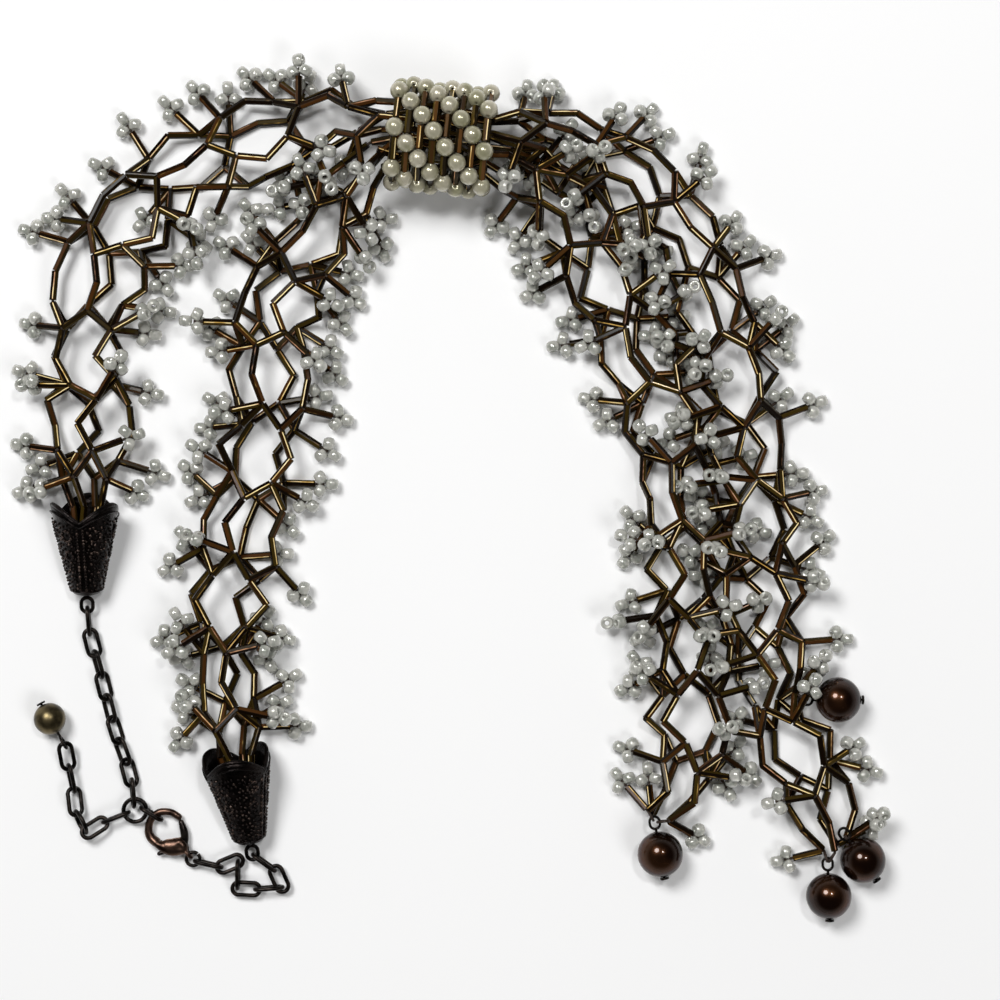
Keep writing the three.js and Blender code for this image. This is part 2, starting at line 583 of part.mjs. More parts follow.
// One closed skin round the beads of one length. At each junction the bars that stand for the bugles meet in
// mitred corners, one between each two neighbouring bars, on the net's outside and on its inside.
function skinOf({ net, from, to }) {
  const { points, bugles, branches, out, band, middle } = nets[net];
  const bars = new Map();
  const corners = [];
  const faces = [];
  const corner = (spot) => corners.push(spot.setZ(Math.max(spot.z, 0))) - 1;
  const face = (...ring) => {
    for (let i = 1; i < ring.length - 1; i++) faces.push(ring[0], ring[i], ring[i + 1]);
  };
  const inside = (i, j) => {
    const key = middle[i] ? j : i;
    return band[key] >= from && band[key] < to;
  };
  const kept = bugles.filter(([i, j]) => inside(i, j));
  for (const [i, j] of kept) {
    for (const [here, there] of [[i, j], [j, i]]) {
      if (!bars.has(here)) bars.set(here, []);
      bars.get(here).push({ there });
    }
  }
  for (const [here, meeting] of bars) {
    const cut = meeting.length === 1 && middle[here];
    if (cut) {
      const [far] = bugles.filter(([i, j]) => (i === here || j === here) && !inside(i, j));
      meeting.push({ there: far[0] === here ? far[1] : far[0], ghost: true });
    }
    const centre = vectorOf(points[here]);
    const normal = vectorOf(out[here]).normalize();
    const first = vectorOf(points[meeting[0].there]).sub(centre).projectOnPlane(normal).normalize();
    const second = new THREE.Vector3().crossVectors(normal, first);
    for (const bar of meeting) {
      const way = vectorOf(points[bar.there]).sub(centre);
      bar.angle = Math.atan2(way.dot(second), way.dot(first));
    }
    meeting.sort((p, q) => p.angle - q.angle);
    const pairAt = (angle, reach) => {
      const spot = centre.clone().addScaledVector(first, Math.cos(angle) * reach);
      spot.addScaledVector(second, Math.sin(angle) * reach);
      return [1, -1].map((side) => corner(spot.clone().addScaledVector(normal, side * BAR_HALF)));
    };
    if (meeting.length === 1) {
      const [bar] = meeting;
      bar.left = pairAt(bar.angle + Math.PI / 2, BAR_HALF);
      bar.right = pairAt(bar.angle - Math.PI / 2, BAR_HALF);
      face(bar.left[0], bar.left[1], bar.right[1], bar.right[0]);
      continue;
    }
    const between = meeting.map((bar, i) => {
      const next = meeting[(i + 1) % meeting.length];
      const turn = (next.angle - bar.angle + 2 * Math.PI) % (2 * Math.PI);
      return pairAt(bar.angle + turn / 2, BAR_HALF / Math.max(Math.sin(turn / 2), 0.5));
    });
    meeting.forEach((bar, i) => {
      bar.left = between[i];
      bar.right = between[(i + meeting.length - 1) % meeting.length];
    });
    if (cut) {
      const bar = meeting.find(({ ghost }) => !ghost);
      const back = vectorOf(points[bar.there]).sub(centre).setLength(GAP / 2 + 0.05);
      for (const i of [...bar.left, ...bar.right]) corners[i].add(back);
      face(bar.left[0], bar.left[1], bar.right[1], bar.right[0]);
    }
    if (meeting.length < 3) continue;
    face(...between.map((pair) => pair[1]).reverse());
    const twigs = branches.filter(([root]) => root === here);
    const rim = between.map((pair) => pair[0]);
    if (twigs.length === 0) {
      face(...rim);
      continue;
    }
    const way = vectorOf(points[twigs[0][1]]).sub(centre);
    const along = way.clone().normalize();
    const middleOfRim = rim.reduce((sum, i) => sum.add(corners[i]), new THREE.Vector3()).divideScalar(3);
    let below = rim;
    for (const { share, reach } of TWIG) {
      const spot = centre.clone().addScaledVector(along, share * BRANCH_LENGTH);
      const ring = rim.map((i) => {
        const aside = corners[i].clone().sub(middleOfRim).projectOnPlane(along).setLength(reach);
        return corner(spot.clone().add(aside));
      });
      for (let k = 0; k < 3; k++) face(below[k], below[(k + 1) % 3], ring[(k + 1) % 3], ring[k]);
      below = ring;
    }
    face(...below);
  }
  for (const [i, j] of kept) {
    const near = bars.get(i).find((bar) => bar.there === j);
    const far = bars.get(j).find((bar) => bar.there === i);
    face(near.right[0], far.left[0], far.right[0], near.left[0]);
    face(near.left[1], far.right[1], far.left[1], near.right[1]);
    face(near.left[0], far.right[0], far.right[1], near.left[1]);
    face(near.right[1], far.left[1], far.left[0], near.right[0]);
  }
  const geometry = new THREE.BufferGeometry().setFromPoints(corners);
  geometry.setIndex(faces);
  return geometry;
}

for (const length of LENGTHS) add(length.name, solid(skinOf(length)), BRONZE_GLASS);

// ---- The slide of pearls and bugles ---------------------------------------------------------------------

// Rings of pearls with two thirds of a step of bugle between them. Each ring is turned a third of a step on
// from the last, so the pearls run round the slide in slanting lines. Both nets pass through it.
function slide() {
  const columns = SLEEVE.beads * 3;
  const last = SLEEVE.rings - 1;
  const rings = Array.from({ length: SLEEVE.rings }, (_, i) => i);
  const profile = [...rings.map((i) => [i, 1]), ...rings.reverse().map((i) => [i, -1]), [0, 1]];
  const points = profile.map(([i, side]) => new THREE.Vector2(10 + side, (i - last / 2) * SLEEVE.pitch));
  const geometry = new THREE.LatheGeometry(points, columns);
  const spots = geometry.attributes.position;
  for (let i = 0; i < spots.count; i++) {
    const column = Math.floor(i / profile.length) % columns;
    const [ring, side] = profile[i % profile.length];
    const pearl = (column - ring + columns) % 3 === 0;
    const off = side * (pearl ? PEARL_RADIUS : BAR_HALF);
    const angle = (column / columns) * 2 * Math.PI;
    spots.setX(i, Math.sin(angle) * (SLEEVE.wide + off));
    spots.setZ(i, Math.cos(angle) * (SLEEVE.high + off));
    if (ring === 0 || ring === last) spots.setY(i, spots.getY(i) + Math.sign(ring - 1) * SLEEVE_LIP);
  }
  const centre = new THREE.Matrix4().makeRotationZ(turnOf(SLEEVE.turn));
  centre.setPosition(SLEEVE.x, SLEEVE.y, SLEEVE.high + PEARL_RADIUS);
  return solid(geometry.rotateZ(-Math.PI / 2).applyMatrix4(centre));
}
add('pearl_slide', slide(), CREAM_PEARL);

// ---- End cones and their eye pins -----------------------------------------------------------------------

// A cone lies on its side, so its axis runs down towards the tip. x is along the axis from the mouth.
function coneFrame({ x, y, turn }) {
  const matrix = new THREE.Matrix4().makeRotationZ(turnOf(turn));
  matrix.multiply(new THREE.Matrix4().makeRotationY(CONE_TILT));
  return matrix.setPosition(x, y, CONE.mouth * Math.cos(CONE_TILT) + CONE.lift);
}

// The wall between the outer and the inner profile. The lip rises into petals.
function coneBody({ spin }) {
  const bore = 1.0;
  const profile = [
    [0, CONE.mouth],
    [CONE.long, CONE.tip],
    [CONE.long + 0.6, CONE.tip * 0.6],
    [CONE.long + 0.6, bore],
    [CONE.long - CONE.wall, bore],
    [CONE.long - CONE.wall, CONE.tip - CONE.wall],
    [0, CONE.mouth - CONE.wall],
    [0, CONE.mouth],
  ];
  const geometry = new THREE.LatheGeometry(profile.map(([x, r]) => new THREE.Vector2(r, x)), CONE.petals * 6);
  const spots = geometry.attributes.position;
  for (let i = 0; i < spots.count; i++) {
    if (spots.getY(i) > 0.01) continue;
    const angle = Math.atan2(spots.getZ(i), spots.getX(i));
    const notch = 1 - Math.abs(Math.cos((angle * CONE.petals) / 2));
    spots.setY(i, CONE.petalDepth * notch - CONE.petalDepth / 2);
  }
  return solid(geometry.rotateY(turnOf(spin)).rotateZ(-Math.PI / 2));
}

// A wire that runs through the cone's tip: a plate inside, under the net's last beads, and an eye outside.
function eyePin() {
  const [inside, outside] = [CONE.long * 0.4, CONE.long + 1.1];
  const disc = new THREE.CylinderGeometry(2.6, 2.6, 0.8, 8);
  const plate = solid(disc.rotateZ(Math.PI / 2).translate(inside, 0, 0));
  const shank = bar(new THREE.Vector3(inside, 0, 0), new THREE.Vector3(outside + 0.4, 0, 0), EYE.wire / 2, 6);
  const eye = oval(new THREE.Vector3(outside + EYE.length / 2, 0, 0), new THREE.Vector3(1, 0, 0), 0, EYE);
  return Manifold.union([plate, shank, eye]);
}

for (const place of CONES) {
  const frame = coneFrame(place).toArray();
  add(place.name, coneBody(place).transform(frame), COPPER);
  add(`${place.name}_eye`, eyePin().transform(frame), DARK_METAL);
}

// ---- Chains ---------------------------------------------------------------------------------------------

function chain(name, rows) {
  for (let i = 0; i + 1 < rows.length; i++) {
    const [start, end] = [rows[i], rows[i + 1]].map((row) => new THREE.Vector3(row.x, row.y, row.z));
    const ahead = end.clone().sub(start);
    const shift = (rows[i + 1].hook - (HOOKED - rows[i].hook)) / 2;
    const centre = start.clone().add(end).multiplyScalar(0.5);
    centre.addScaledVector(ahead.clone().normalize(), shift);
    add(`${name}_${i + 1}`, oval(centre, ahead, rows[i].turn, rows[i].size ?? LINK), DARK_METAL);
  }
}
chain('chain', CHAIN);
chain('extender', EXTENDER);
chain('pile', PILE);

for (const { name, x, y, z, turn, lean, size, steps } of JOINERS) {
  const ahead = new THREE.Vector3(Math.cos(turnOf(turn)), Math.sin(turnOf(turn)), 0);
  add(name, oval(new THREE.Vector3(x, y, z), ahead, lean, size, steps), DARK_METAL);
}

// ---- Lobster clasp --------------------------------------------------------------------------------------

// The clasp lies flat. In its own frame the tail with the ring is at the origin, y runs up to the crown of
// the claw and x to the side with the lever.
const claspFrame = new THREE.Matrix4().makeRotationZ(turnOf(CLASP.turn)).setPosition(CLASP.x, CLASP.y, 0);
const splineShape = (rows) => {
  const shape = new THREE.Shape();
  const curve = new THREE.SplineCurve(rows.map(([x, y]) => new THREE.Vector2(x, y)));
  shape.setFromPoints(curve.getPoints(rows.length * 2));
  return shape;
};

function plate(shape, low, high) {
  const settings = { depth: high - low, bevelEnabled: false, curveSegments: 10 };
  const geometry = new THREE.ExtrudeGeometry(shape, settings);
  return solid(geometry.translate(0, 0, low));
}

function claspBody() {
  const claw = splineShape([
    [-0.65, -0.6], [-0.65, 1.3], [-2.6, 2.4], [-4.2, 4.8], [-4.7, 7.8], [-3.7, 10.9], [-1.0, 12.9],
    [1.9, 12.5], [3.9, 10.4], [4.4, 7.9], [3.2, 7.5], [2.6, 9.6], [1.0, 11.2], [-1.3, 11.3], [-3.0, 9.5],
    [-3.0, 7.2], [-1.6, 5.7], [0.9, 5.1], [1.7, 3.6], [0.65, 1.3], [0.65, -0.6],
  ]);
  const body = splineShape([
    [-0.65, -0.6], [-0.65, 1.3], [-2.6, 2.4], [-4.2, 4.8], [-4.6, 6.4], [-3.2, 7.0], [-1.6, 5.7], [0.9, 5.1],
    [1.7, 3.6], [0.65, 1.3], [0.65, -0.6],
  ]);
  const slot = splineShape([
    [-6.0, 0.9], [-6.0, 7.4], [-3.6, 7.2], [-1.4, 5.0], [0.6, 6.0], [3.5, 6.0], [3.5, 1.4],
    [1.0, 1.0], [-1.4, 1.1],
  ]);
  const across = new THREE.Vector3(3, 0.75, CLASP.thickness / 2);
  const pin = new THREE.CylinderGeometry(PIVOT.pin, PIVOT.pin, 1.7, 10).rotateX(Math.PI / 2);
  return plate(claw, CLASP.railLow, CLASP.railHigh)
    .add(plate(body, 0, CLASP.thickness))
    .subtract(plate(slot, SLOT.low, SLOT.high))
    .subtract(bar(across, across.clone().setX(-3), 0.85, 8))
    .add(solid(pin.translate(PIVOT.x, PIVOT.y, (SLOT.low + SLOT.high) / 2)));
}

function claspLever() {
  const lever = splineShape([
    [3.7, 6.6], [2.7, 6.8], [1.9, 5.4], [1.1, 4.2], [-0.6, 4.2], [-2.8, 4.9], [-5.0, 5.6], [-5.3, 4.6],
    [-3.0, 3.6], [-1.0, 2.5], [0.2, 1.5], [1.5, 1.9], [2.4, 3.6], [3.3, 5.2],
  ]);
  const hole = new THREE.CylinderGeometry(PIVOT.hole, PIVOT.hole, 3, 10).rotateX(Math.PI / 2);
  return plate(lever, LEVER.low, LEVER.high).subtract(solid(hole.translate(PIVOT.x, PIVOT.y, LEVER.high)));
}

add('clasp_body', claspBody().transform(claspFrame.toArray()), COPPER);
add('clasp_lever', claspLever().transform(claspFrame.toArray()), COPPER);
const ringCentre = new THREE.Vector3(0, -0.8, CLASP.thickness / 2).applyMatrix4(claspFrame);
const claspWay = new THREE.Vector3(1, 0, 0).transformDirection(claspFrame);
add('clasp_ring', oval(ringCentre, claspWay, 0, RING, 12), DARK_METAL);

// ---- Pearls and ball on their headpins ------------------------------------------------------------------

for (const { name, x, y, radius, turn, neck, spin } of HUNG) {
  const material = radius === BALL_RADIUS ? OLD_BRASS : BROWN_PEARL;
  const frame = new THREE.Matrix4().makeRotationZ(turnOf(turn)).setPosition(x, y, radius);
  const half = Math.acos(BORE / radius);
  const profile = Array.from({ length: 8 }, (_, i) => half - (2 * half * i) / 7);
  const points = profile.map(
    (angle) => new THREE.Vector2(radius * Math.cos(angle), -radius * Math.sin(angle)),
  );
  const bead = new THREE.LatheGeometry([...points, points[0]], 12).rotateZ(-Math.PI / 2);
  add(name, solid(bead).transform(frame.toArray()), material);
  const disc = new THREE.CylinderGeometry(1.0, 1.0, 0.4, 8);
  const head = disc.rotateZ(Math.PI / 2).translate(-radius - 0.4, 0, 0);
  const far = radius + neck;
  const foot = new THREE.Vector3(-radius - 0.5, 0, 0);
  const shank = bar(foot, new THREE.Vector3(far + 0.4, 0, 0), PIN.wire / 2, 6);
  const eye = oval(new THREE.Vector3(far + PIN.length / 2, 0, 0), new THREE.Vector3(1, 0, 0), spin, PIN);
  add(`${name}_pin`, Manifold.union([solid(head), shank, eye]).transform(frame.toArray()), DARK_METAL);
}

export default necklace;
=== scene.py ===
import math
from collections import namedtuple
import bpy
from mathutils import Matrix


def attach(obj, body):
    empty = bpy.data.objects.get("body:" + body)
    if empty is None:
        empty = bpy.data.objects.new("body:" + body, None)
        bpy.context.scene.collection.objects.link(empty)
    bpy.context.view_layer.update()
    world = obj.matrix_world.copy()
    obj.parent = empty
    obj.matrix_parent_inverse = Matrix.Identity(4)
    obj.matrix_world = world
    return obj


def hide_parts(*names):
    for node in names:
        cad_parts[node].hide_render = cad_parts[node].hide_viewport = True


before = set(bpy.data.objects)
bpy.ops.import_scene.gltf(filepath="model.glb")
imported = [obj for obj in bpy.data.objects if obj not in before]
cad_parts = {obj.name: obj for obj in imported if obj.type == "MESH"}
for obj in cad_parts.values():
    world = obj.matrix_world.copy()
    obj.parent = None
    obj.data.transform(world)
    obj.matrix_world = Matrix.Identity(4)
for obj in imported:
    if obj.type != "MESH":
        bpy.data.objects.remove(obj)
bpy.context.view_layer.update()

from types import SimpleNamespace

import bmesh
import bpy
import numpy as np
from mathutils import Matrix, Vector

# ---- How the two nets lie --------------------------------------------------------------------------------
# Both nets are woven of bugle beads on nylon thread: lengthwise runs of two bugles, tied to the next runs by
# slanting bugles, so that eight columns make a loose tube. The tubes lie flattened on the table, and their
# beads have settled against each other. Sizes are in millimetres, as a beader counts them.

MM = 0.001
MIDDLE = Vector((-0.888, -0.45, 0.0))
BUGLE_PITCH = 7.0
BUGLE_RADIUS = 0.85
BRANCH_LENGTH = 9.0
PEARL_RADIUS = 5.0
BALL_RADIUS = 3.5
PIN_EYE = 3.4

Place = namedtuple("Place", "x y wide high lift")
Hung = namedtuple("Hung", "name x y radius turn neck spin")

ROPE_A = [
    Place(-80.6, -10.5, 2.4, 2.2, 3.4), Place(-80.8, -1.5, 4.0, 3.0, 3.0), Place(-80.3, 9.0, 7.0, 3.2, 0.9),
    Place(-79.3, 19.0, 7.6, 3.2, 0.9), Place(-80.2, 30.0, 7.4, 3.2, 0.9), Place(-79.3, 43.0, 7.8, 3.2, 0.9),
    Place(-74.9, 54.4, 8.0, 3.2, 0.9), Place(-67.1, 63.6, 7.8, 3.2, 0.9), Place(-56.0, 70.6, 7.8, 3.2, 0.9),
    Place(-44.9, 75.6, 7.6, 3.2, 0.9), Place(-33.8, 78.9, 6.6, 3.4, 1.4), Place(-23.5, 80.4, 4.6, 3.8, 4.2),
    Place(-14.0, 81.2, 2.9, 3.9, 7.2), Place(-2.0, 80.0, 2.9, 3.9, 7.2), Place(9.8, 78.7, 2.9, 3.9, 7.2),
    Place(20.0, 77.4, 4.6, 3.8, 5.6), Place(32.0, 73.2, 6.4, 3.4, 1.8), Place(43.0, 65.4, 7.0, 3.2, 0.9),
    Place(51.0, 56.0, 7.0, 3.2, 0.9), Place(56.8, 44.5, 7.0, 3.2, 0.9), Place(60.6, 31.0, 7.0, 3.2, 0.9),
    Place(63.8, 17.0, 6.8, 3.2, 0.9), Place(66.2, 3.0, 6.8, 3.2, 0.9), Place(67.4, -11.0, 6.8, 3.2, 0.9),
    Place(68.8, -25.0, 6.8, 3.2, 0.9), Place(70.2, -38.0, 6.2, 3.2, 0.9), Place(72.8, -51.0, 5.8, 3.2, 0.9),
    Place(79.0, -63.0, 7.2, 3.0, 0.9), Place(82.3, -72.0, 5.0, 2.6, 0.9), Place(84.2, -79.0, 2.6, 2.0, 1.9),
]
ROPE_B = [
    Place(-46.4, -65.1, 2.4, 2.2, 3.4), Place(-47.7, -57.0, 3.6, 3.0, 3.2),
    Place(-48.9, -48.0, 5.2, 3.0, 0.9), Place(-50.3, -38.0, 3.6, 3.0, 0.9),
    Place(-50.2, -28.0, 6.6, 3.2, 0.9), Place(-48.2, -18.0, 7.4, 3.2, 0.9),
    Place(-45.8, -8.0, 7.2, 3.2, 0.9), Place(-43.2, 3.0, 7.2, 3.2, 0.9), Place(-40.8, 14.0, 7.2, 3.2, 0.9),
    Place(-40.2, 25.0, 7.0, 3.2, 0.9), Place(-39.4, 36.0, 7.2, 3.2, 0.9), Place(-35.4, 47.0, 7.2, 3.2, 0.9),
    Place(-29.0, 57.0, 6.2, 3.4, 1.2), Place(-22.0, 66.5, 4.6, 3.8, 4.0), Place(-14.3, 73.5, 2.9, 3.9, 7.2),
    Place(-2.6, 72.5, 2.9, 3.9, 7.2), Place(9.2, 71.2, 2.9, 3.9, 7.2), Place(18.0, 68.0, 4.6, 3.8, 5.0),
    Place(26.0, 60.0, 6.4, 3.4, 1.6), Place(32.2, 49.5, 7.0, 3.2, 0.9), Place(38.0, 38.5, 7.0, 3.2, 0.9),
    Place(42.8, 26.5, 7.0, 3.2, 0.9), Place(46.8, 14.0, 6.8, 3.2, 0.9), Place(50.0, 1.0, 6.8, 3.2, 0.9),
    Place(51.4, -12.0, 6.8, 3.2, 0.9), Place(51.8, -26.0, 6.8, 3.2, 0.9), Place(53.0, -40.0, 7.0, 3.2, 0.9),
    Place(53.6, -53.0, 7.4, 3.2, 0.9), Place(51.0, -64.0, 5.6, 3.0, 0.9), Place(45.8, -72.5, 2.6, 2.0, 1.9),
]
BARE_A = [(-5, 9), (132, 162)]
CROWDED_A = [(0, 25), (105, 195)]
BARE_B = [(-5, 12), (138, 170)]
CROWDED_B = [(0, 35), (105, 195)]
HUNG = [
    Hung("brown_pearl_1", 45.8, -80.6, PEARL_RADIUS, 100, 0.4, 0),
    Hung("brown_pearl_2", 82.9, -89.8, PEARL_RADIUS, 92, 0.4, 0),
    Hung("brown_pearl_3", 90.4, -81.9, PEARL_RADIUS, 125, 0.4, 0),
    Hung("brown_pearl_4", 85.0, -46.6, PEARL_RADIUS, 180, 0.4, 0),
    Hung("extender_ball", -88.9, -50.9, BALL_RADIUS, -60, 1.0, 90),
]


# A repeatable draw between 0 and 1.
def chance(n):
    wave = math.sin(n * 12.9898) * 43758.5453
    return wave - math.floor(wave)


def smooth_line(rows, steps):
    line = []
    last = len(rows) - 1
    for i in range(last):
        near = list(zip(rows[max(i - 1, 0)], rows[i], rows[i + 1], rows[min(i + 2, last)]))
        for k in range(steps):
            t = k / steps
            line.append([0.5 * (2 * q + (r - p) * t + (2 * p - 5 * q + 4 * r - s) * t * t
                                + (3 * q - p - 3 * r + s) * t ** 3) for p, q, r, s in near])
    line.append(list(rows[last]))
    return line


STEPS_BETWEEN = 12


# The middle line of a rope, with its half width, half height and lift at any length along it.
def route_of(rows):
    line = smooth_line(rows, STEPS_BETWEEN)
    along = [0.0]
    for i in range(1, len(line)):
        along.append(along[-1] + math.hypot(line[i][0] - line[i - 1][0], line[i][1] - line[i - 1][1]))

    def at(length):
        i = 1
        while i < len(along) - 1 and along[i] < length:
            i += 1
        share = (length - along[i - 1]) / (along[i] - along[i - 1])
        x, y, wide, high, lift = [a + (b - a) * share for a, b in zip(line[i - 1], line[i])]
        run = (line[i][0] - line[i - 1][0], line[i][1] - line[i - 1][1])
        size = math.hypot(*run)
        ahead = (run[0] / size, run[1] / size)
        return SimpleNamespace(x=x, y=y, wide=wide, high=high, lift=lift, ahead=ahead)

    return at, along[-1]


# The weave: how much shorter the zigzag runs and slanting ties are than their beads laid straight, how far
# beads stray from the pattern, and what share of the junctions grow a branch.
COLUMNS = 8
RUN_SHARE, SLANT_SHARE, SLANT_LEAST = 0.92, 0.72, 3
END_ROOM = 6
TWIST = 0.13
COLUMN_WANDER, MIDDLE_WANDER, SHIFT_WANDER = 0.5, 0.8, 2.4
MIDDLE_BULGE, BARE_BULGE, BULGE_RISE = 1.2, 0.1, 0.3
START_BRANCHES, END_BRANCHES, CROWD_SHARE = 0.74, 0.52, 0.4
SIDE_LEAST, SIDE_MORE = 0.55, 0.45
RISE_LEAST, RISE_MORE = 0.15, 0.55
BRANCH_DRIFT = 1.3
LEVEL_DRAWS, COLUMN_DRAWS = 40, 5


def woven_net(rows, bare, crowded, seed):
    at, length = route_of(rows)
    net = SimpleNamespace(points=[], bugles=[], branches=[], along=[], band=[], middle=[], held=[])

    def is_in(stretches, place):
        return any(start < place < end for start, end in stretches)

    def note(spot, place, band, middle, held):
        net.points.append(spot)
        net.along.append(place)
        net.band.append(band)
        net.middle.append(middle)
        net.held.append(held)
        return len(net.points) - 1

    def put(place, angle, bulge, band):
        here = at(place)
        reach = bulge * BARE_BULGE if is_in(bare, place) else bulge
        out = (here.ahead[1] * math.cos(angle), -here.ahead[0] * math.cos(angle), math.sin(angle))
        spot = [here.x + out[0] * (here.wide + reach), here.y + out[1] * (here.wide + reach),
                here.lift + here.high + out[2] * (here.high + reach * BULGE_RISE)]
        return note(spot, place, band, bulge > 0, is_in(bare, place))

    def grow_branch(root, angle, key, share):
        place = net.along[root]
        most = share + (CROWD_SHARE if is_in(crowded, place) else 0)
        if is_in(bare, place) or chance(key + 3 + share) > most:
            return
        ahead = at(place).ahead
        side = math.copysign(1, math.cos(angle)) * (SIDE_LEAST + SIDE_MORE * abs(math.cos(angle)))
        drift = (chance(key + 4 + share) - 0.5) * BRANCH_DRIFT
        rise = RISE_LEAST + RISE_MORE * chance(key + 7 + share) if math.sin(angle) > 0 else 0
        way = Vector((ahead[1] * side + ahead[0] * drift, -ahead[0] * side + ahead[1] * drift, rise))
        size = math.sqrt(way.x ** 2 + way.y ** 2 + way.z ** 2)
        base = net.points[root]
        tip = [base[k] + way[k] / size * BRANCH_LENGTH for k in range(3)]
        net.branches.append((root, note(tip, place, net.band[root], False, False)))

    natural = [0.0]
    full_run = 2 * BUGLE_PITCH * RUN_SHARE
    while natural[-1] + full_run < length + END_ROOM:
        here = at(natural[-1] + BUGLE_PITCH)
        spread = (2 * math.pi * math.sqrt((here.wide ** 2 + here.high ** 2) / 2)) / COLUMNS
        slant = math.sqrt(max(BUGLE_PITCH ** 2 - spread ** 2, SLANT_LEAST ** 2)) * SLANT_SHARE
        natural.append(natural[-1] + full_run + slant)
    natural.pop()
    stretch = length / (natural[-1] + full_run)
    run = full_run * stretch
    ends = {}
    for level, place in enumerate(natural):
        along = place * stretch
        starts = {}
        next_ends = {}
        for column in range(level % 2, COLUMNS, 2):
            key = seed + level * LEVEL_DRAWS + column * COLUMN_DRAWS
            wander = (chance(key) - 0.5) * COLUMN_WANDER
            angle = ((column + 0.5) * 2 * math.pi) / COLUMNS + wander + level * TWIST
            loose = 0 < level < len(natural) - 1
            shift = (chance(key + 1) - 0.5) * SHIFT_WANDER if loose else 0
            start = put(along + shift, angle, 0, level)
            bent = angle + (chance(key + 2) - 0.5) * MIDDLE_WANDER
            middle = put(along + shift + run / 2, bent, MIDDLE_BULGE, level)
            end = put(along + shift + run, angle, 0, level + 1)
            net.bugles += [(start, middle), (middle, end)]
            starts[column] = start
            next_ends[column] = end
            grow_branch(start, angle, key, START_BRANCHES)
            grow_branch(end, angle, key, END_BRANCHES)
        for column in range(level % 2, COLUMNS, 2):
            for beside in ((column + COLUMNS - 1) % COLUMNS, (column + 1) % COLUMNS):
                if beside in ends:
                    net.bugles.append((ends[beside], starts[column]))
        ends = next_ends
    return net


# Settling, round by round: each bead keeps its length, beads that meet fan out, beads that cross stand clear,
# the ends of branches sink to the table, and every junction is drawn a little to its place in the weave.
PICOT_RADIUS, PICOT_REST, PICOT_SINK = 2.7, 2.0, 0.05
ROUNDS, PAIRS_EVERY = 220, 15
CLEAR, PAIR_MARGIN = 0.6, 1.5
FAN_WIDTH = 5.2
HOME_PULL, HELD_PULL = 0.04, 0.6
PUSH_SHARE = 1.3
TINY, NEARLY_PARALLEL = 1e-9, 1e-6


def settle(nets):
    homes, free, firm, rods, pieces = [], [], [], [], []
    for net in nets:
        net.first = len(homes)
        homes += net.points
        free += [False] * len(net.points)
        firm += [HELD_PULL if held else HOME_PULL for held in net.held]
        for root, tip in net.branches:
            root, tip = net.first + root, net.first + tip
            free[tip] = True
            rods.append((root, tip, BRANCH_LENGTH))
            pieces += [(root, tip, BUGLE_RADIUS), (tip, tip, PICOT_RADIUS)]
        for i, j in net.bugles:
            rods.append((net.first + i, net.first + j, BUGLE_PITCH))
            pieces.append((net.first + i, net.first + j, BUGLE_RADIUS))
    for ball in HUNG:
        reach = ball.radius + ball.neck + PIN_EYE / 2
        turn = math.radians(ball.turn)
        eye = (ball.x + math.cos(turn) * reach, ball.y + math.sin(turn) * reach, ball.radius)
        for spot, size in (((ball.x, ball.y, ball.radius), ball.radius), (eye, PIN_EYE / 2)):
            homes.append(spot)
            free.append(False)
            firm.append(1.0)
            pieces.append((len(homes) - 1, len(homes) - 1, size))
    homes = np.array(homes, float)
    points = homes.copy()
    free = np.array(free)
    pull = np.where(free, 0.0, np.array(firm))[:, None]
    least = np.where(free, PICOT_REST, BUGLE_RADIUS)
    sink = np.where(free, PICOT_SINK, 0.0)
    rod_from, rod_to = (np.array([rod[k] for rod in rods]) for k in (0, 1))
    rod_length = np.array([rod[2] for rod in rods])
    ends_a, ends_b = (np.array([piece[k] for piece in pieces]) for k in (0, 1))
    thick = np.array([piece[2] for piece in pieces])
    meeting = [[] for _ in homes]
    for i, j, _ in rods:
        meeting[i].append(j)
        meeting[j].append(i)
    fans = [(far[m], far[n]) for far in meeting for m in range(len(far)) for n in range(m + 1, len(far))]
    fan_from, fan_to = (np.array([fan[k] for fan in fans]) for k in (0, 1))
    for step in range(ROUNDS):
        if step % PAIRS_EVERY == 0:
            first, second = near_pairs(points, ends_a, ends_b, thick)
        move = np.zeros_like(points)
        count = np.zeros(len(points))

        def push(index, way, weight):
            np.add.at(move, index, way * weight[:, None])
            np.add.at(count, index, (weight > 0).astype(float))

        spaced = ((rod_from, rod_to, rod_length, False), (fan_from, fan_to, FAN_WIDTH, True))
        for start, end, length, only_near in spaced:
            gap = points[end] - points[start]
            size = np.sqrt((gap ** 2).sum(1)) + TINY
            change = gap * ((size - length) / size / 2)[:, None]
            use = size < length if only_near else np.ones(len(size), bool)
            whole = np.ones(use.sum())
            push(start[use], change[use], whole)
            push(end[use], -change[use], whole)
        a, b = points[ends_a[first]], points[ends_b[first]]
        c, d = points[ends_a[second]], points[ends_b[second]]
        s, t = nearest(a, b, c, d)
        away = a + (b - a) * s[:, None] - (c + (d - c) * t[:, None])
        size = np.sqrt((away ** 2).sum(1)) + TINY
        missing = thick[first] + thick[second] + CLEAR - size
        use = missing > 0
        way = (away / size[:, None] * missing[:, None] * 0.5)[use]
        push(ends_a[first][use], way, (1 - s)[use])
        push(ends_b[first][use], way, s[use])
        push(ends_a[second][use], -way, (1 - t)[use])
        push(ends_b[second][use], -way, t[use])
        share = np.where(count > 0, PUSH_SHARE / np.maximum(count, 1), 0.0)[:, None]
        points = points + move * share * (1 - pull) + (homes - points) * pull
        points[:, 2] = np.maximum(points[:, 2] - sink, least)
    for net in nets:
        net.points = [Vector(p) for p in points[net.first:net.first + len(net.points)]]


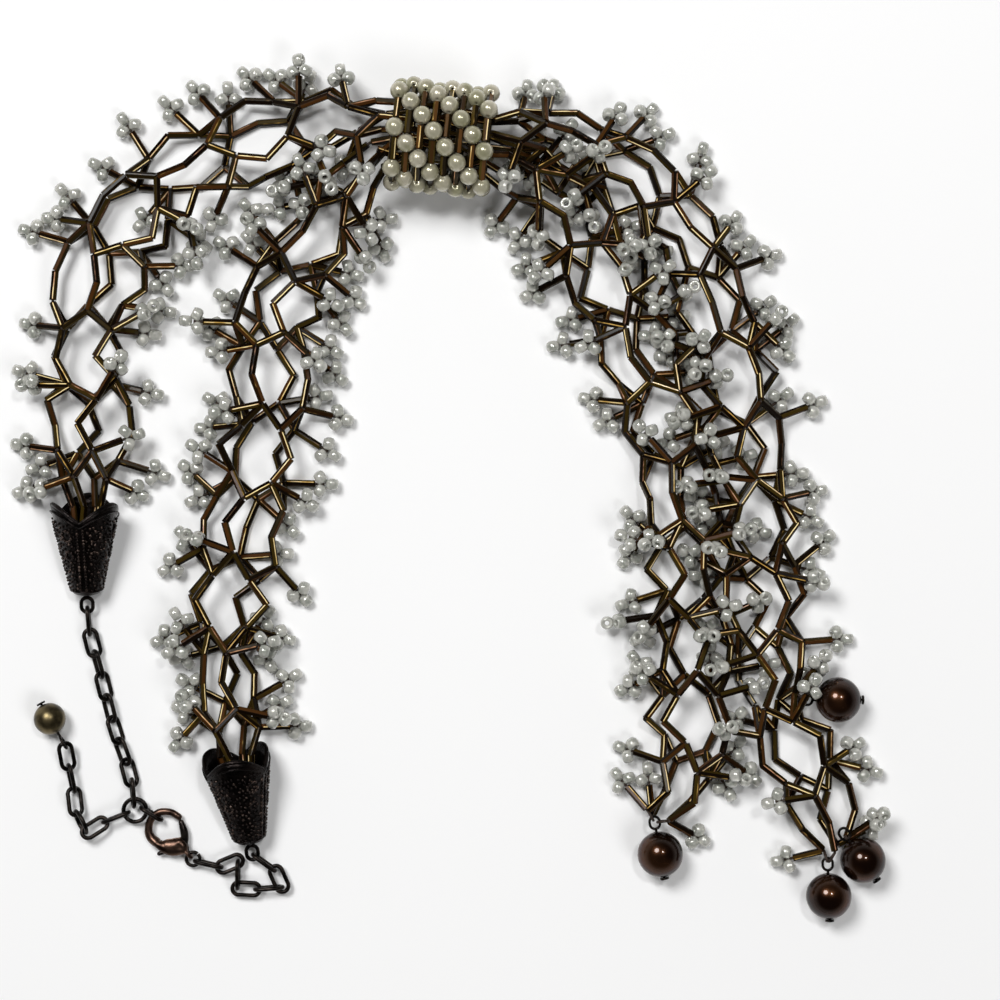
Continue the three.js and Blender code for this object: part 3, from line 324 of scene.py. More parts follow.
# Where two straight beads come nearest each other, as shares of their lengths.
def nearest(a, b, c, d):
    u, v, w = b - a, d - c, a - c
    uu, uv, vv = (u * u).sum(1) + TINY, (u * v).sum(1), (v * v).sum(1) + TINY
    uw, vw = (u * w).sum(1), (v * w).sum(1)
    s = np.clip((uv * vw - vv * uw) / (uu * vv - uv * uv + NEARLY_PARALLEL), 0, 1)
    t = np.clip((uv * s + vw) / vv, 0, 1)
    s = np.clip((uv * t - uw) / uu, 0, 1)
    return s, t


# The pairs of beads that could touch within the next few rounds.
def near_pairs(points, ends_a, ends_b, thick):
    middle = (points[ends_a] + points[ends_b]) / 2
    reach = np.sqrt(((points[ends_a] - points[ends_b]) ** 2).sum(1)) / 2 + thick
    apart = np.sqrt(((middle[:, None] - middle[None]) ** 2).sum(2))
    near = apart < reach[:, None] + reach[None] + PAIR_MARGIN
    for one in (ends_a, ends_b):
        for other in (ends_a, ends_b):
            near &= one[:, None] != other[None]
    return np.nonzero(np.triu(near, 1))


nets = {"a": woven_net(ROPE_A, BARE_A, CROWDED_A, 100), "b": woven_net(ROPE_B, BARE_B, CROWDED_B, 5000)}
settle(list(nets.values()))

Length = namedtuple("Length", "name net start end")
LENGTHS = [
    Length("arm_a_1", "a", 0, 3), Length("arm_a_2", "a", 3, 5), Length("arm_a_3", "a", 5, 7),
    Length("arm_a_4", "a", 7, 10), Length("drop_a_1", "a", 10, 13), Length("drop_a_2", "a", 13, 15),
    Length("drop_a_3", "a", 15, 17), Length("drop_a_4", "a", 17, 40),
    Length("arm_b_1", "b", 0, 3), Length("arm_b_2", "b", 3, 5), Length("arm_b_3", "b", 5, 7),
    Length("arm_b_4", "b", 7, 10), Length("drop_b_1", "b", 10, 13), Length("drop_b_2", "b", 13, 15),
    Length("drop_b_3", "b", 15, 18), Length("drop_b_4", "b", 18, 40),
]

# ---- Bugle beads of the nets -----------------------------------------------------------------------------
# Six-cut glass tubes with a dark bronze lining. Their colour holds painted light: three thin golden lines run
# along each bead as painted highlights, one of them facing up, and some facets are painted lighter olive or
# amber as painted sheen. Every bugle is threaded on the net's nylon, from one junction to the next, with a
# little thread bare.

BUGLE_LENGTH = 6.5
FACETS = 6
BUGLE_RIM = 0.42
CUT_EDGE = 0.14
JUNCTION_ROOM = 0.5
RUN_ROOM = 0.05
# The bugles are rolled only a little at random, so that one painted highlight line stays facing up.
BUGLE_ROLL = 1.3
THREAD_RADIUS = 0.3
# The number of painted highlight lines along each bugle.
HIGHLIGHT_LINES = 3
UP = Vector((0, 0, 1))


class Wire:
    def __init__(self, tree, socket=None):
        self.tree = tree
        self.socket = socket

    def node(self, kind, settings=(), out=0, **sockets):
        made = self.tree.nodes.new(kind)
        for key, value in dict(settings).items():
            setattr(made, key, value)
        for key, value in sockets.items():
            place = int(key[1:]) if key[1:].isdigit() else key.replace("_", " ")
            if isinstance(value, Wire):
                self.tree.links.new(value.socket, made.inputs[place])
            else:
                made.inputs[place].default_value = value
        return Wire(self.tree, made.outputs[out])

    def maths(self, operation, *values):
        inputs = {f"i{count}": value for count, value in enumerate(values)}
        return self.node("ShaderNodeMath", {"operation": operation}, **inputs)

    def __add__(self, other):
        return self.maths("ADD", self, other)

    def __radd__(self, other):
        return self.maths("ADD", other, self)

    def __sub__(self, other):
        return self.maths("SUBTRACT", self, other)

    def __rsub__(self, other):
        return self.maths("SUBTRACT", other, self)

    def __mul__(self, other):
        return self.maths("MULTIPLY", self, other)

    def __rmul__(self, other):
        return self.maths("MULTIPLY", other, self)

    def __abs__(self):
        return self.maths("ABSOLUTE", self)

    def part(self):
        return self.maths("FRACT", self)

    def between(self, low, high):
        return self.node("ShaderNodeMapRange", {"interpolation_type": "SMOOTHSTEP"},
                         Value=self, From_Min=low, From_Max=high)

    def blend(self, one, other):
        return self.node("ShaderNodeMix", {"data_type": "RGBA"}, out=2, i0=self, i6=one, i7=other)

    def noise(self, scale, detail=2.0, **sockets):
        spot = self.node("ShaderNodeTexCoord", out=3)
        return self.node("ShaderNodeTexNoise", Vector=spot, Scale=scale, Detail=detail, **sockets)

    def bead(self):
        return self.node("ShaderNodeNewGeometry", out=8)

    def bump(self, depth):
        return self.node("ShaderNodeBump", Height=self, Distance=depth, Strength=1.0)


def surface(name, **settings):
    made = bpy.data.materials.new(name)
    made.use_nodes = True
    tree = made.node_tree
    shader = tree.nodes["Principled BSDF"]
    for key, value in settings.items():
        shader.inputs[key.replace("_", " ")].default_value = value

    def feed(key, wire):
        tree.links.new(wire.socket, shader.inputs[key])

    return made, Wire(tree), feed


def colour(red, green, blue):
    return (red, green, blue, 1.0)


def bronze_glass(name, dark, olive, amber_sheen, gold_highlight, copper):
    made, w, feed = surface(name, Coat_Weight=0.06, Coat_Roughness=0.04, Specular_IOR_Level=0.08)
    bead = w.bead()
    around = w.node("ShaderNodeUVMap", {"uv_map": "around"})
    u = w.node("ShaderNodeSeparateXYZ", Vector=around, out=0)
    v = w.node("ShaderNodeSeparateXYZ", Vector=around, out=1)
    grain = w.noise(420.0)
    # The dark base is the glass's own colour; some facets are painted lighter olive or amber at random, as
    # painted sheen of facets catching the light.
    facet = w.maths("FLOOR", u * FACETS + 0.5)
    facet_sheen = (facet * 0.37 + bead * 13.7).part()
    glass = facet_sheen.between(0.45, 0.95).blend(dark, olive)
    glass = (bead * 5.3 + facet * 0.21).part().between(0.72, 0.98).blend(glass, amber_sheen)
    # Painted highlight: thin golden lines along each bugle, fading near its ends and fainter on some beads.
    line = (u * HIGHLIGHT_LINES + grain * 0.1 + 0.7).part() - 0.5
    line = abs(line).between(0.085, 0.04) * abs(v - 0.5).between(0.48, 0.43)
    line = line * (grain * 0.9 + (bead * 23.0).part()).between(0.6, 1.4)
    # Colour of the painted highlight: gold on some beads, copper on others, with a pale core.
    glow = (bead * 7.3).part().between(0.5, 0.8).blend(gold_highlight, copper)
    glow = line.between(0.5, 0.95).blend(glow, colour(0.98, 0.80, 0.42))
    feed("Base Color", line.between(0.0, 0.55).blend(glass, glow))
    feed("Roughness", 0.14 + grain * 0.16)
    return made


def mesh_of(bm, name):
    bmesh.ops.recalc_face_normals(bm, faces=bm.faces)
    mesh = bpy.data.meshes.new(name)
    bm.to_mesh(mesh)
    bm.free()
    return mesh


def bugle_bead(length):
    bm = bmesh.new()
    bmesh.ops.create_cone(bm, cap_ends=True, segments=FACETS, radius1=BUGLE_RADIUS, radius2=BUGLE_RADIUS,
                          depth=length)
    cuts = [edge for edge in bm.edges if edge.calc_length() > length * 0.9]
    bmesh.ops.bevel(bm, geom=cuts, offset=CUT_EDGE, affect="EDGES", segments=1, profile=0.5, material=-1)
    ends = [face for face in bm.faces if abs(face.normal.z) > 0.9]
    bmesh.ops.inset_individual(bm, faces=ends, thickness=BUGLE_RIM)
    rims = [edge for face in ends for edge in face.edges]
    bmesh.ops.delete(bm, geom=ends, context="FACES_ONLY")
    bmesh.ops.bridge_loops(bm, edges=rims)
    around = bm.loops.layers.uv.new("around")
    for face in bm.faces:
        middle = face.calc_center_median()
        facing = math.atan2(middle.y, middle.x)
        for loop in face.loops:
            spot = loop.vert.co
            turn = (math.atan2(spot.y, spot.x) - facing + math.pi) % (2 * math.pi) - math.pi
            loop[around].uv = ((facing + turn) / (2 * math.pi), spot.z / length + 0.5)
    return mesh_of(bm, "bugle")


def rod(radius, sides, length=1.0):
    bm = bmesh.new()
    bmesh.ops.create_cone(bm, cap_ends=True, segments=sides, radius1=radius, radius2=radius, depth=length)
    return mesh_of(bm, "rod")


def stamp(bm, shape, place):
    count = len(bm.verts)
    bm.from_mesh(shape)
    bm.verts.ensure_lookup_table()
    bmesh.ops.transform(bm, matrix=place, verts=bm.verts[count:])


def lying(centre, way, roll=0.0):
    facing = way.to_track_quat("Z", "Y").to_matrix().to_4x4()
    return Matrix.Translation(centre) @ facing @ Matrix.Rotation(roll, 4, "Z")


def spanning(start, end):
    return lying((start + end) / 2, end - start) @ Matrix.Scale((end - start).length, 4, UP)


def finished(name, bm, material, stands_for, smooth=True, body="necklace"):
    bmesh.ops.translate(bm, vec=-MIDDLE, verts=bm.verts)
    bmesh.ops.scale(bm, vec=(MM, MM, MM), verts=bm.verts)
    for face in bm.faces:
        face.smooth = smooth
    mesh = bpy.data.meshes.new(name)
    bm.to_mesh(mesh)
    bm.free()
    mesh.materials.append(material)
    piece = bpy.data.objects.new(name, mesh)
    bpy.context.scene.collection.objects.link(piece)
    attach(piece, body)
    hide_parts(*stands_for)
    return piece


def beads_of(length):
    net = nets[length.net]
    for i, j in net.bugles:
        if length.start <= net.band[j if net.middle[i] else i] < length.end:
            yield net.points[i], net.points[j], net.middle[i], net.middle[j]


def branches_of(length):
    net = nets[length.net]
    for root, tip in net.branches:
        if length.start <= net.band[root] < length.end:
            yield net.points[root], net.points[tip], tip * 11 + length.start


net_glass = bronze_glass("bronze bugle glass", colour(0.005, 0.0025, 0.001), colour(0.038, 0.024, 0.004),
                         colour(0.055, 0.021, 0.005), colour(0.55, 0.33, 0.08), colour(0.46, 0.23, 0.13))
brown_nylon, w, feed = surface("brown nylon thread", Roughness=0.55)
feed("Base Color", w.noise(2500.0).blend(colour(0.012, 0.007, 0.004), colour(0.05, 0.03, 0.02)))

long_bugle = bugle_bead(BUGLE_LENGTH)
thread = rod(THREAD_RADIUS, 4)
for length in LENGTHS:
    bugles = bmesh.new()
    strands = bmesh.new()
    for count, (start, end, start_in_run, end_in_run) in enumerate(beads_of(length)):
        way = (end - start).normalized()
        first = start + way * (RUN_ROOM if start_in_run else JUNCTION_ROOM)
        last = end - way * (RUN_ROOM if end_in_run else JUNCTION_ROOM)
        roll = (chance(count * 3 + length.start * 50) - 0.5) * BUGLE_ROLL
        stamp(bugles, long_bugle, lying((first + last) / 2, way, roll))
        stamp(strands, thread, spanning(start, end))
    for root, tip, key in branches_of(length):
        way = (tip - root).normalized()
        roll = (chance(key) - 0.5) * BUGLE_ROLL
        stamp(bugles, long_bugle, lying(root + way * (JUNCTION_ROOM + BUGLE_LENGTH / 2), way, roll))
        stamp(strands, thread, spanning(root, tip))
    finished("bugles_" + length.name, bugles, net_glass, [length.name], smooth=False)
    finished("thread_" + length.name, strands, brown_nylon, [length.name])

# ---- Seed beads ------------------------------------------------------------------------------------------
# Round glass seed beads, translucent white with a pearl lustre. Each branch of a net ends in three of them,
# where the thread leaves its bugle, goes round through the three, and comes back down the same bugle.

SEED_RADIUS = 1.52
SEED_HALF = 1.16
SEED_HOLE = 0.46
PICOT_REACH = 1.77
PICOT_SPREAD = math.radians(119)
PICOT_WANDER = 0.16
SEED_CLEAR = 0.1


def seed_bead():
    bm = bmesh.new()
    wall = (SEED_RADIUS - SEED_HOLE) / 2
    bmesh.ops.create_circle(bm, segments=9, radius=1.0)
    bmesh.ops.scale(bm, vec=(wall, SEED_HALF, 1.0), verts=bm.verts)
    bmesh.ops.translate(bm, vec=(SEED_HOLE + wall, 0, 0), verts=bm.verts)
    bmesh.ops.rotate(bm, matrix=Matrix.Rotation(math.pi / 2, 3, "X"), verts=bm.verts)
    bmesh.ops.spin(bm, geom=bm.verts[:] + bm.edges[:], axis=UP, angle=2 * math.pi, steps=12, use_merge=True)
    return mesh_of(bm, "seed")


pearl_glass, w, feed = surface("white pearl seed glass", Coat_Weight=1.0, Coat_Roughness=0.03,
                               Transmission_Weight=0.35, Metallic=0.15, IOR=1.5)
cloud = w.noise(700.0)
milk = w.bead().blend(colour(0.42, 0.435, 0.385), colour(0.59, 0.59, 0.54))
feed("Base Color", cloud.between(0.35, 0.75).blend(milk, colour(0.76, 0.75, 0.69)))
feed("Roughness", 0.08 + cloud * 0.12)

round_seed = seed_bead()
for length in LENGTHS:
    seeds = bmesh.new()
    for root, tip, key in branches_of(length):
        way = (tip - root).normalized()
        side = way.cross(UP).normalized()
        most = math.asin(min(max((tip.z - SEED_RADIUS - SEED_CLEAR) / PICOT_REACH, 0.0), 1.0))
        lean = most * (2 * chance(key + 1) - 1)
        side = side * math.cos(lean) + side.cross(way) * math.sin(lean)
        for place in (-1, 0, 1):
            turn = place * PICOT_SPREAD + (chance(key + 2 + place * 0.3) - 0.5) * PICOT_WANDER
            spot = tip + (way * math.cos(turn) + side * math.sin(turn)) * PICOT_REACH
            spot.z = max(spot.z, SEED_RADIUS)
            stamp(seeds, round_seed, lying(spot, side * math.cos(turn) - way * math.sin(turn)))
    if seeds.verts:
        finished("seeds_" + length.name, seeds, pearl_glass, [length.name])

# ---- Slide of pearls and bugles --------------------------------------------------------------------------
# A woven sleeve that holds the two nets together: rings of seven ivory pearls with a bugle between each two.
# Each ring is turned a third of a step on from the last, so that the pearls climb round it in slanting rows.

SLIDE_PEARL = 2.0
SLIDE_BUGLE = 5.0
SLIDE_X, SLIDE_Y, SLIDE_TURN = -2.3, 76.2, math.radians(-6)
SLIDE_RINGS, SLIDE_PITCH, SLIDE_BEADS = 8, 2.8, 7
SLIDE_WIDE, SLIDE_HIGH = 10.7, 9.4
PEARL_BORE = 0.28


def bored_ball(radius, bore, steps, around):
    bm = bmesh.new()
    half = math.acos(bore / radius)
    angles = [half - 2 * half * k / steps for k in range(steps + 1)]
    arc = [bm.verts.new((radius * math.cos(angle), 0, radius * math.sin(angle))) for angle in angles]
    for near, far in zip(arc, arc[1:] + arc[:1]):
        bm.edges.new((near, far))
    bmesh.ops.spin(bm, geom=bm.verts[:] + bm.edges[:], axis=UP, angle=2 * math.pi, steps=around,
                   use_merge=True)
    return mesh_of(bm, "ball")


def slide_spot(ring, step):
    angle = (ring + 3 * step) / (3 * SLIDE_BEADS) * 2 * math.pi
    along = (ring - (SLIDE_RINGS - 1) / 2) * SLIDE_PITCH
    height = math.cos(angle) * SLIDE_HIGH + SLIDE_HIGH + SLIDE_PEARL
    spot = Vector((along, -math.sin(angle) * SLIDE_WIDE, height))
    return Matrix.Rotation(SLIDE_TURN, 3, "Z") @ spot + Vector((SLIDE_X, SLIDE_Y, 0))


ivory_pearl, w, feed = surface("ivory glass pearl", Coat_Weight=0.8, Coat_Roughness=0.05, Metallic=0.35)
sheen = w.noise(260.0)
ivory = w.bead().blend(colour(0.27, 0.26, 0.15), colour(0.40, 0.38, 0.26))
feed("Base Color", sheen.between(0.3, 0.8).blend(ivory, colour(0.52, 0.48, 0.38)))
feed("Roughness", 0.2 + sheen * 0.12)
slide_glass = bronze_glass("olive bronze bugle glass", colour(0.010, 0.006, 0.002),
                           colour(0.070, 0.048, 0.009), colour(0.095, 0.042, 0.012),
                           colour(0.62, 0.38, 0.12), colour(0.70, 0.38, 0.21))

pearls = bmesh.new()
bugles = bmesh.new()
strands = bmesh.new()
slide_pearl = bored_ball(SLIDE_PEARL, PEARL_BORE, 10, 16)
slide_bugle = bugle_bead(SLIDE_BUGLE)
for ring in range(SLIDE_RINGS):
    for step in range(SLIDE_BEADS):
        here, there = slide_spot(ring, step), slide_spot(ring, step + 1)
        way = (there - here).normalized()
        key = ring * 31 + step * 7
        bore = (there - slide_spot(ring, step - 1)).normalized()
        stamp(pearls, slide_pearl, lying(here, bore))
        stamp(bugles, slide_bugle, lying((here + there) / 2, way, (chance(key) - 0.5) * BUGLE_ROLL))
        stamp(strands, thread, spanning(here, there))
        if ring + 1 < SLIDE_RINGS:
            stamp(strands, thread, spanning(here, slide_spot(ring + 1, step)))
finished("slide_pearls", pearls, ivory_pearl, ["pearl_slide"])
finished("slide_bugles", bugles, slide_glass, ["pearl_slide"], smooth=False)
finished("slide_thread", strands, brown_nylon, ["pearl_slide"])

# ---- End cones -------------------------------------------------------------------------------------------
# Two cast and blackened copper cones that gather the ends of the nets. Each has a lip of three petals with a
# wire rim, and a skin of small granules: rings high on the petals, double rows down the seams, and a filling.

CONE_LONG, CONE_MOUTH, CONE_TIP, CONE_WALL = 18.5, 7.4, 3.4, 0.9
CONE_TILT = math.asin((CONE_MOUTH - CONE_TIP) / CONE_LONG)
CONE_LIFT, CONE_STEPS = 0.1, 72
PETALS, PETAL_DEPTH, LIP_BEND = 3, 3.6, 0.35
RIM_WIRE, SECOND_WIRE, FOOT_WIRE = 0.5, 0.2, 0.26
SECOND_RIM = 1.3
GRANULE, GRANULE_RISE, GRANULE_APART = 0.40, 0.06, 0.6
SEAM_STEP, SEAM_APART = 0.78, 0.62
SCROLL_TURN = 0.52
FILLING_TRIES, FILLING_SIZE, FILLING_APART = 2600, 0.85, 0.68
Scroll = namedtuple("Scroll", "along radius grains inset")
SCROLLS = [Scroll(4.9, 1.25, 10, 1.0), Scroll(9.4, 0.95, 8, 2.0)]
Cone = namedtuple("Cone", "name x y turn spin")
CONES = [Cone("cone_a", -80.6, -4.6, -90.5, 90), Cone("cone_b", -47.4, -59.6, -81.5, 30)]


def cone_place(cone):
    spot = Vector((cone.x, cone.y, CONE_MOUTH * math.cos(CONE_TILT) + CONE_LIFT))
    return (Matrix.Translation(spot) @ Matrix.Rotation(math.radians(cone.turn), 4, "Z")
            @ Matrix.Rotation(CONE_TILT, 4, "Y"))


def lip(cone, angle):
    around = math.pi - angle + math.radians(cone.spin)
    return PETAL_DEPTH * (1 - abs(math.cos(around * PETALS / 2))) - PETAL_DEPTH / 2


def on_cone(along, angle):
    reach = CONE_MOUTH + (CONE_TIP - CONE_MOUTH) * along / CONE_LONG + GRANULE_RISE
    return Vector((along, reach * math.cos(angle), reach * math.sin(angle)))


def spun(profile, steps):
    bm = bmesh.new()
    verts = [bm.verts.new((along, reach, 0)) for along, reach in profile]
    for near, far in zip(verts, verts[1:] + verts[:1]):
        bm.edges.new((near, far))
    bmesh.ops.spin(bm, geom=bm.verts[:] + bm.edges[:], axis=(1, 0, 0), angle=2 * math.pi, steps=steps,
                   use_merge=True)
    bmesh.ops.recalc_face_normals(bm, faces=bm.faces)
    return bm


def bend_lip(bm, cone):
    for vert in bm.verts:
        share = max(1 - max(vert.co.x, 0) / (CONE_LONG * LIP_BEND), 0)
        vert.co.x += lip(cone, math.atan2(vert.co.z, vert.co.y)) * share


def cone_shell(cone):
    outer = [(CONE_LONG * share, CONE_MOUTH + (CONE_TIP - CONE_MOUTH) * share) for share in
             (0, 0.08, 0.16, 0.24, 0.35, 0.5, 0.7, 0.85, 0.96)]
    tip = [(CONE_LONG + 0.3, CONE_TIP * 0.86), (CONE_LONG + 0.6, CONE_TIP * 0.62), (CONE_LONG + 0.6, 1.0)]
    inner = [(CONE_LONG - CONE_WALL, 1.0), (CONE_LONG - CONE_WALL, CONE_TIP - CONE_WALL)]
    inner += [(along, reach - CONE_WALL) for along, reach in reversed(outer[:5])]
    bm = spun(outer + tip + inner, CONE_STEPS)
    bend_lip(bm, cone)
    return bm


def wire_ring(along, reach, thick, sides=6, steps=CONE_STEPS):
    turns = [2 * math.pi * count / sides for count in range(sides)]
    return spun([(along + thick * math.cos(turn), reach + thick * math.sin(turn)) for turn in turns], steps)


def ball_shape(radius, fineness=2):
    bm = bmesh.new()
    bmesh.ops.create_icosphere(bm, subdivisions=fineness, radius=radius)
    return mesh_of(bm, "ball")


black_copper, w, feed = surface("blackened cast copper", Metallic=0.85)
stain = w.noise(350.0, 4.0)
feed("Base Color", stain.between(0.35, 0.7).blend(colour(0.003, 0.002, 0.0018), colour(0.012, 0.008, 0.007)))
feed("Roughness", 0.18 + stain * 0.2)
feed("Normal", w.noise(1500.0, 3.0).bump(0.0001))
# The granules are a lighter copper than the shell, each at random: part wear of the raised grains, part
# painted highlight on them.
worn_and_highlit_copper, w, feed = surface("worn dark copper", Metallic=0.9)
stain = w.noise(500.0, 3.0)
rubbed_and_highlit = w.bead().between(0.4, 1.0).blend(colour(0.008, 0.005, 0.0045), colour(0.10, 0.070, 0.058))
feed("Base Color", stain.between(0.4, 0.75).blend(rubbed_and_highlit, colour(0.020, 0.013, 0.011)))
feed("Roughness", 0.10 + stain * 0.14)

granule = ball_shape(GRANULE)
small_granule = ball_shape(GRANULE * FILLING_SIZE, 1)
for cone in CONES:
    place = cone_place(cone)
    shell = cone_shell(cone)
    grains = bmesh.new()
    taken = []

    def set_grain(along, angle, shape=granule, near=GRANULE_APART):
        spot = on_cone(along, angle)
        if any((spot - other).length < near for other in taken):
            return
        taken.append(spot)
        stamp(grains, shape, Matrix.Translation(spot))

    for petal in range(PETALS):
        notch = math.pi + math.radians(cone.spin) - 2 * math.pi * (petal + 0.5) / PETALS
        for side in (-1, 1):
            along = PETAL_DEPTH / 2 + 1.5
            while along < CONE_LONG - 0.6:
                reach = on_cone(along, 0).y
                set_grain(along, notch + side * SEAM_APART / reach)
                along += SEAM_STEP
            for scroll in SCROLLS:
                for count in range(scroll.grains):
                    turn = 2 * math.pi * count / scroll.grains
                    across = scroll.radius * math.sin(turn) / (CONE_MOUTH - scroll.inset)
                    set_grain(scroll.along + scroll.radius * math.cos(turn),
                              notch + side * SCROLL_TURN + side * across)
    for count in range(FILLING_TRIES):
        along = 1.9 + chance(count + cone.spin) * (CONE_LONG - 2.6)
        angle = chance(count * 3 + 77 + cone.spin) * 2 * math.pi
        if along > lip(cone, angle) + SECOND_RIM:
            set_grain(along, angle, small_granule, FILLING_APART)
    rim = wire_ring(0.1, CONE_MOUTH - CONE_WALL / 2, RIM_WIRE)
    bend_lip(rim, cone)
    second = wire_ring(SECOND_RIM, CONE_MOUTH + 0.02, SECOND_WIRE)
    bend_lip(second, cone)
    foot = wire_ring(CONE_LONG - 0.5, CONE_TIP + 0.12, FOOT_WIRE)
    for ring in (rim, second, foot):
        stamp(shell, mesh_of(ring, "rim"), Matrix.Identity(4))
    for bm in (shell, grains):
        bmesh.ops.transform(bm, matrix=place, verts=bm.verts)
        for vert in bm.verts:
            vert.co.z = max(vert.co.z, 0)
    finished(cone.name + "_shell", shell, black_copper, [cone.name])
    finished(cone.name + "_granules", grains, worn_and_highlit_copper, [cone.name])

# ---- Wire links, rings and eye pins ----------------------------------------------------------------------
# Oval links of round wire, darkened like gunmetal, with plain cut rings where the chains are joined. The eye
# pins run through the cones' tips from a plate inside, and the hooked link is the one that the clasp takes.

Oval = namedtuple("Oval", "length width wire")
LINK = Oval(7.05, 3.75, 0.95)
SPLIT_RING = Oval(6.25, 6.25, 0.95)
JUMP_RING = Oval(6.05, 6.05, 0.95)
HOOKED_LINK = Oval(6.25, 3.75, 0.95)
RING = Oval(3.8, 3.8, 0.8)
EYE = Oval(4.2, 3.4, 0.85)
PIN = Oval(3.3, 2.8, 0.6)
HOOKED = 1.15
SEAM = 0.09
LINK_STEPS = 32
WIRE_LAP = 0.4
PLATE_RADIUS, PLATE_THICK, PLATE_DEPTH = 2.6, 0.8, 0.4
EYE_STANDS_OUT = 1.1
# Two links hold each other at a row's spot: the one before reaches past it by the row's hook, and the row's
# own link, which is turned about its length, reaches back over the rest of HOOKED.
Hook = namedtuple("Hook", "x y z turn hook size", defaults=(0, 0, LINK))
CHAIN = [
    Hook(-80.8, -26.3, 2.3, 85, 1.15), Hook(-80.4, -31.9, 1.8, -10, 0.58), Hook(-79.2, -36.6, 1.7, 60, 0.58),
    Hook(-77.9, -41.4, 1.5, -35, 0.58), Hook(-76.7, -46.3, 1.3, 45, 0.58), Hook(-75.5, -51.2, 1.3, -45, 0.58),
    Hook(-74.0, -56.0, 1.3, 40, 0.58), Hook(-72.3, -60.7, 1.3, -30, 0.58), Hook(-71.0, -65.3, 1.7, 75, 0.58),
    Hook(-70.6, -69.8, 1.9, 0, 0.4),
]
EXTENDER = [
    Hook(-71.65, -71.7, 1.9, 90, 1.15), Hook(-77.4, -74.0, 2.0, 10, 0),
    Hook(-80.9, -76.2, 2.9, -68, 1.15, SPLIT_RING), Hook(-83.2, -71.8, 2.6, 22, 0.5),
    Hook(-83.9, -66.8, 1.9, -68, 0.6), Hook(-84.9, -61.8, 2.1, 14, 0.65), Hook(-85.75, -56.2, 3.4),
]
PILE = [
    Hook(-57.1, -82.5, 1.9, 90, 1.15), Hook(-51.1, -83.9, 1.9), Hook(-47.5, -82.4, 1.9, 90, 1.15),
    Hook(-47.6, -88.6, 1.9), Hook(-43.8, -88.8, 1.9, 90, 1.15), Hook(-37.6, -88.3, 1.9),
    Hook(-39.2, -84.7, 1.9, 90, 1.15), Hook(-44.2, -81.0, 2.3),
]


def oval_wire(size, seam=0.0):
    bm = bmesh.new()
    bend = (size.width - size.wire) / 2
    bmesh.ops.create_circle(bm, segments=10, radius=size.wire / 2)
    bmesh.ops.rotate(bm, matrix=Matrix.Rotation(math.pi / 2, 3, "X"), verts=bm.verts)
    bmesh.ops.translate(bm, vec=(bend, 0, 0), verts=bm.verts)
    bmesh.ops.rotate(bm, matrix=Matrix.Rotation(math.pi / LINK_STEPS + seam / 2, 3, "Z"), verts=bm.verts)
    bmesh.ops.spin(bm, geom=bm.verts[:] + bm.edges[:], axis=UP, angle=2 * math.pi - seam, steps=LINK_STEPS,
                   use_merge=seam == 0)
    if seam:
        bmesh.ops.edgeloop_fill(bm, edges=[edge for edge in bm.edges if edge.is_boundary])
    for vert in bm.verts:
        vert.co.x += math.copysign((size.length - size.width) / 2, vert.co.x)
    return mesh_of(bm, "wire")


def oval_place(centre, ahead, turn):
    x = Vector(ahead).normalized()
    y = Matrix.Rotation(math.radians(turn), 3, x) @ UP.cross(x).normalized()
    return Matrix.Translation(centre) @ Matrix((x, y, x.cross(y))).transposed().to_4x4()


def chain_of(rows):
    bm = bmesh.new()
    for near, far in zip(rows, rows[1:]):
        start, end = Vector((near.x, near.y, near.z)), Vector((far.x, far.y, far.z))
        ahead = (end - start).normalized()
        centre = (start + end) / 2 + ahead * (far.hook - (HOOKED - near.hook)) / 2
        seam = SEAM if near.size is SPLIT_RING else 0.0
        stamp(bm, oval_wire(near.size, seam), oval_place(centre, ahead, near.turn))
    return bm


gunmetal, w, feed = surface("gunmetal wire", Metallic=0.9)
rub = w.noise(600.0, 3.0)
feed("Base Color", rub.between(0.35, 0.7).blend(colour(0.006, 0.005, 0.0045), colour(0.032, 0.025, 0.021)))
feed("Roughness", 0.2 + rub * 0.22)

for name, rows in (("chain", CHAIN), ("extender", EXTENDER), ("pile", PILE)):
    stands_for = [f"{name}_{count}" for count in range(1, len(rows))]
    finished(name + "_links", chain_of(rows), gunmetal, stands_for)

joiner = bmesh.new()
stamp(joiner, oval_wire(JUMP_RING, SEAM), oval_place((-70.3, -71.3, 1.9), (1, 0, 0), 0))
finished("joining_ring", joiner, gunmetal, ["jump_ring"])
joiner = bmesh.new()
stamp(joiner, oval_wire(HOOKED_LINK), oval_place((-66.7, -72.05, 1.85), (0.85, -0.52, 0), 90))
finished("link_in_clasp", joiner, gunmetal, ["hooked_link"])

for cone in CONES:
    pin = bmesh.new()
    inside, outside = CONE_LONG * PLATE_DEPTH, CONE_LONG + EYE_STANDS_OUT
    plate = lying(Vector((inside, 0, 0)), Vector((1, 0, 0)))
    stamp(pin, rod(PLATE_RADIUS, 24, PLATE_THICK), plate)
    stem = spanning(Vector((inside, 0, 0)), Vector((outside + WIRE_LAP, 0, 0)))
    stamp(pin, rod(EYE.wire / 2, 10), stem)
    stamp(pin, oval_wire(EYE), oval_place((outside + EYE.length / 2, 0, 0), (1, 0, 0), 0))
    bmesh.ops.transform(pin, matrix=cone_place(cone), verts=pin.verts)
    finished(cone.name + "_pin", pin, gunmetal, [cone.name + "_eye"])

# ---- Lobster clasp ---------------------------------------------------------------------------------------
# A cast lobster clasp of antiqued copper: the body with its claw, and a lever that turns on a pin between the
# body's cheeks and is pushed shut by a spring inside. A small ring in its tail takes the chain from cone B.

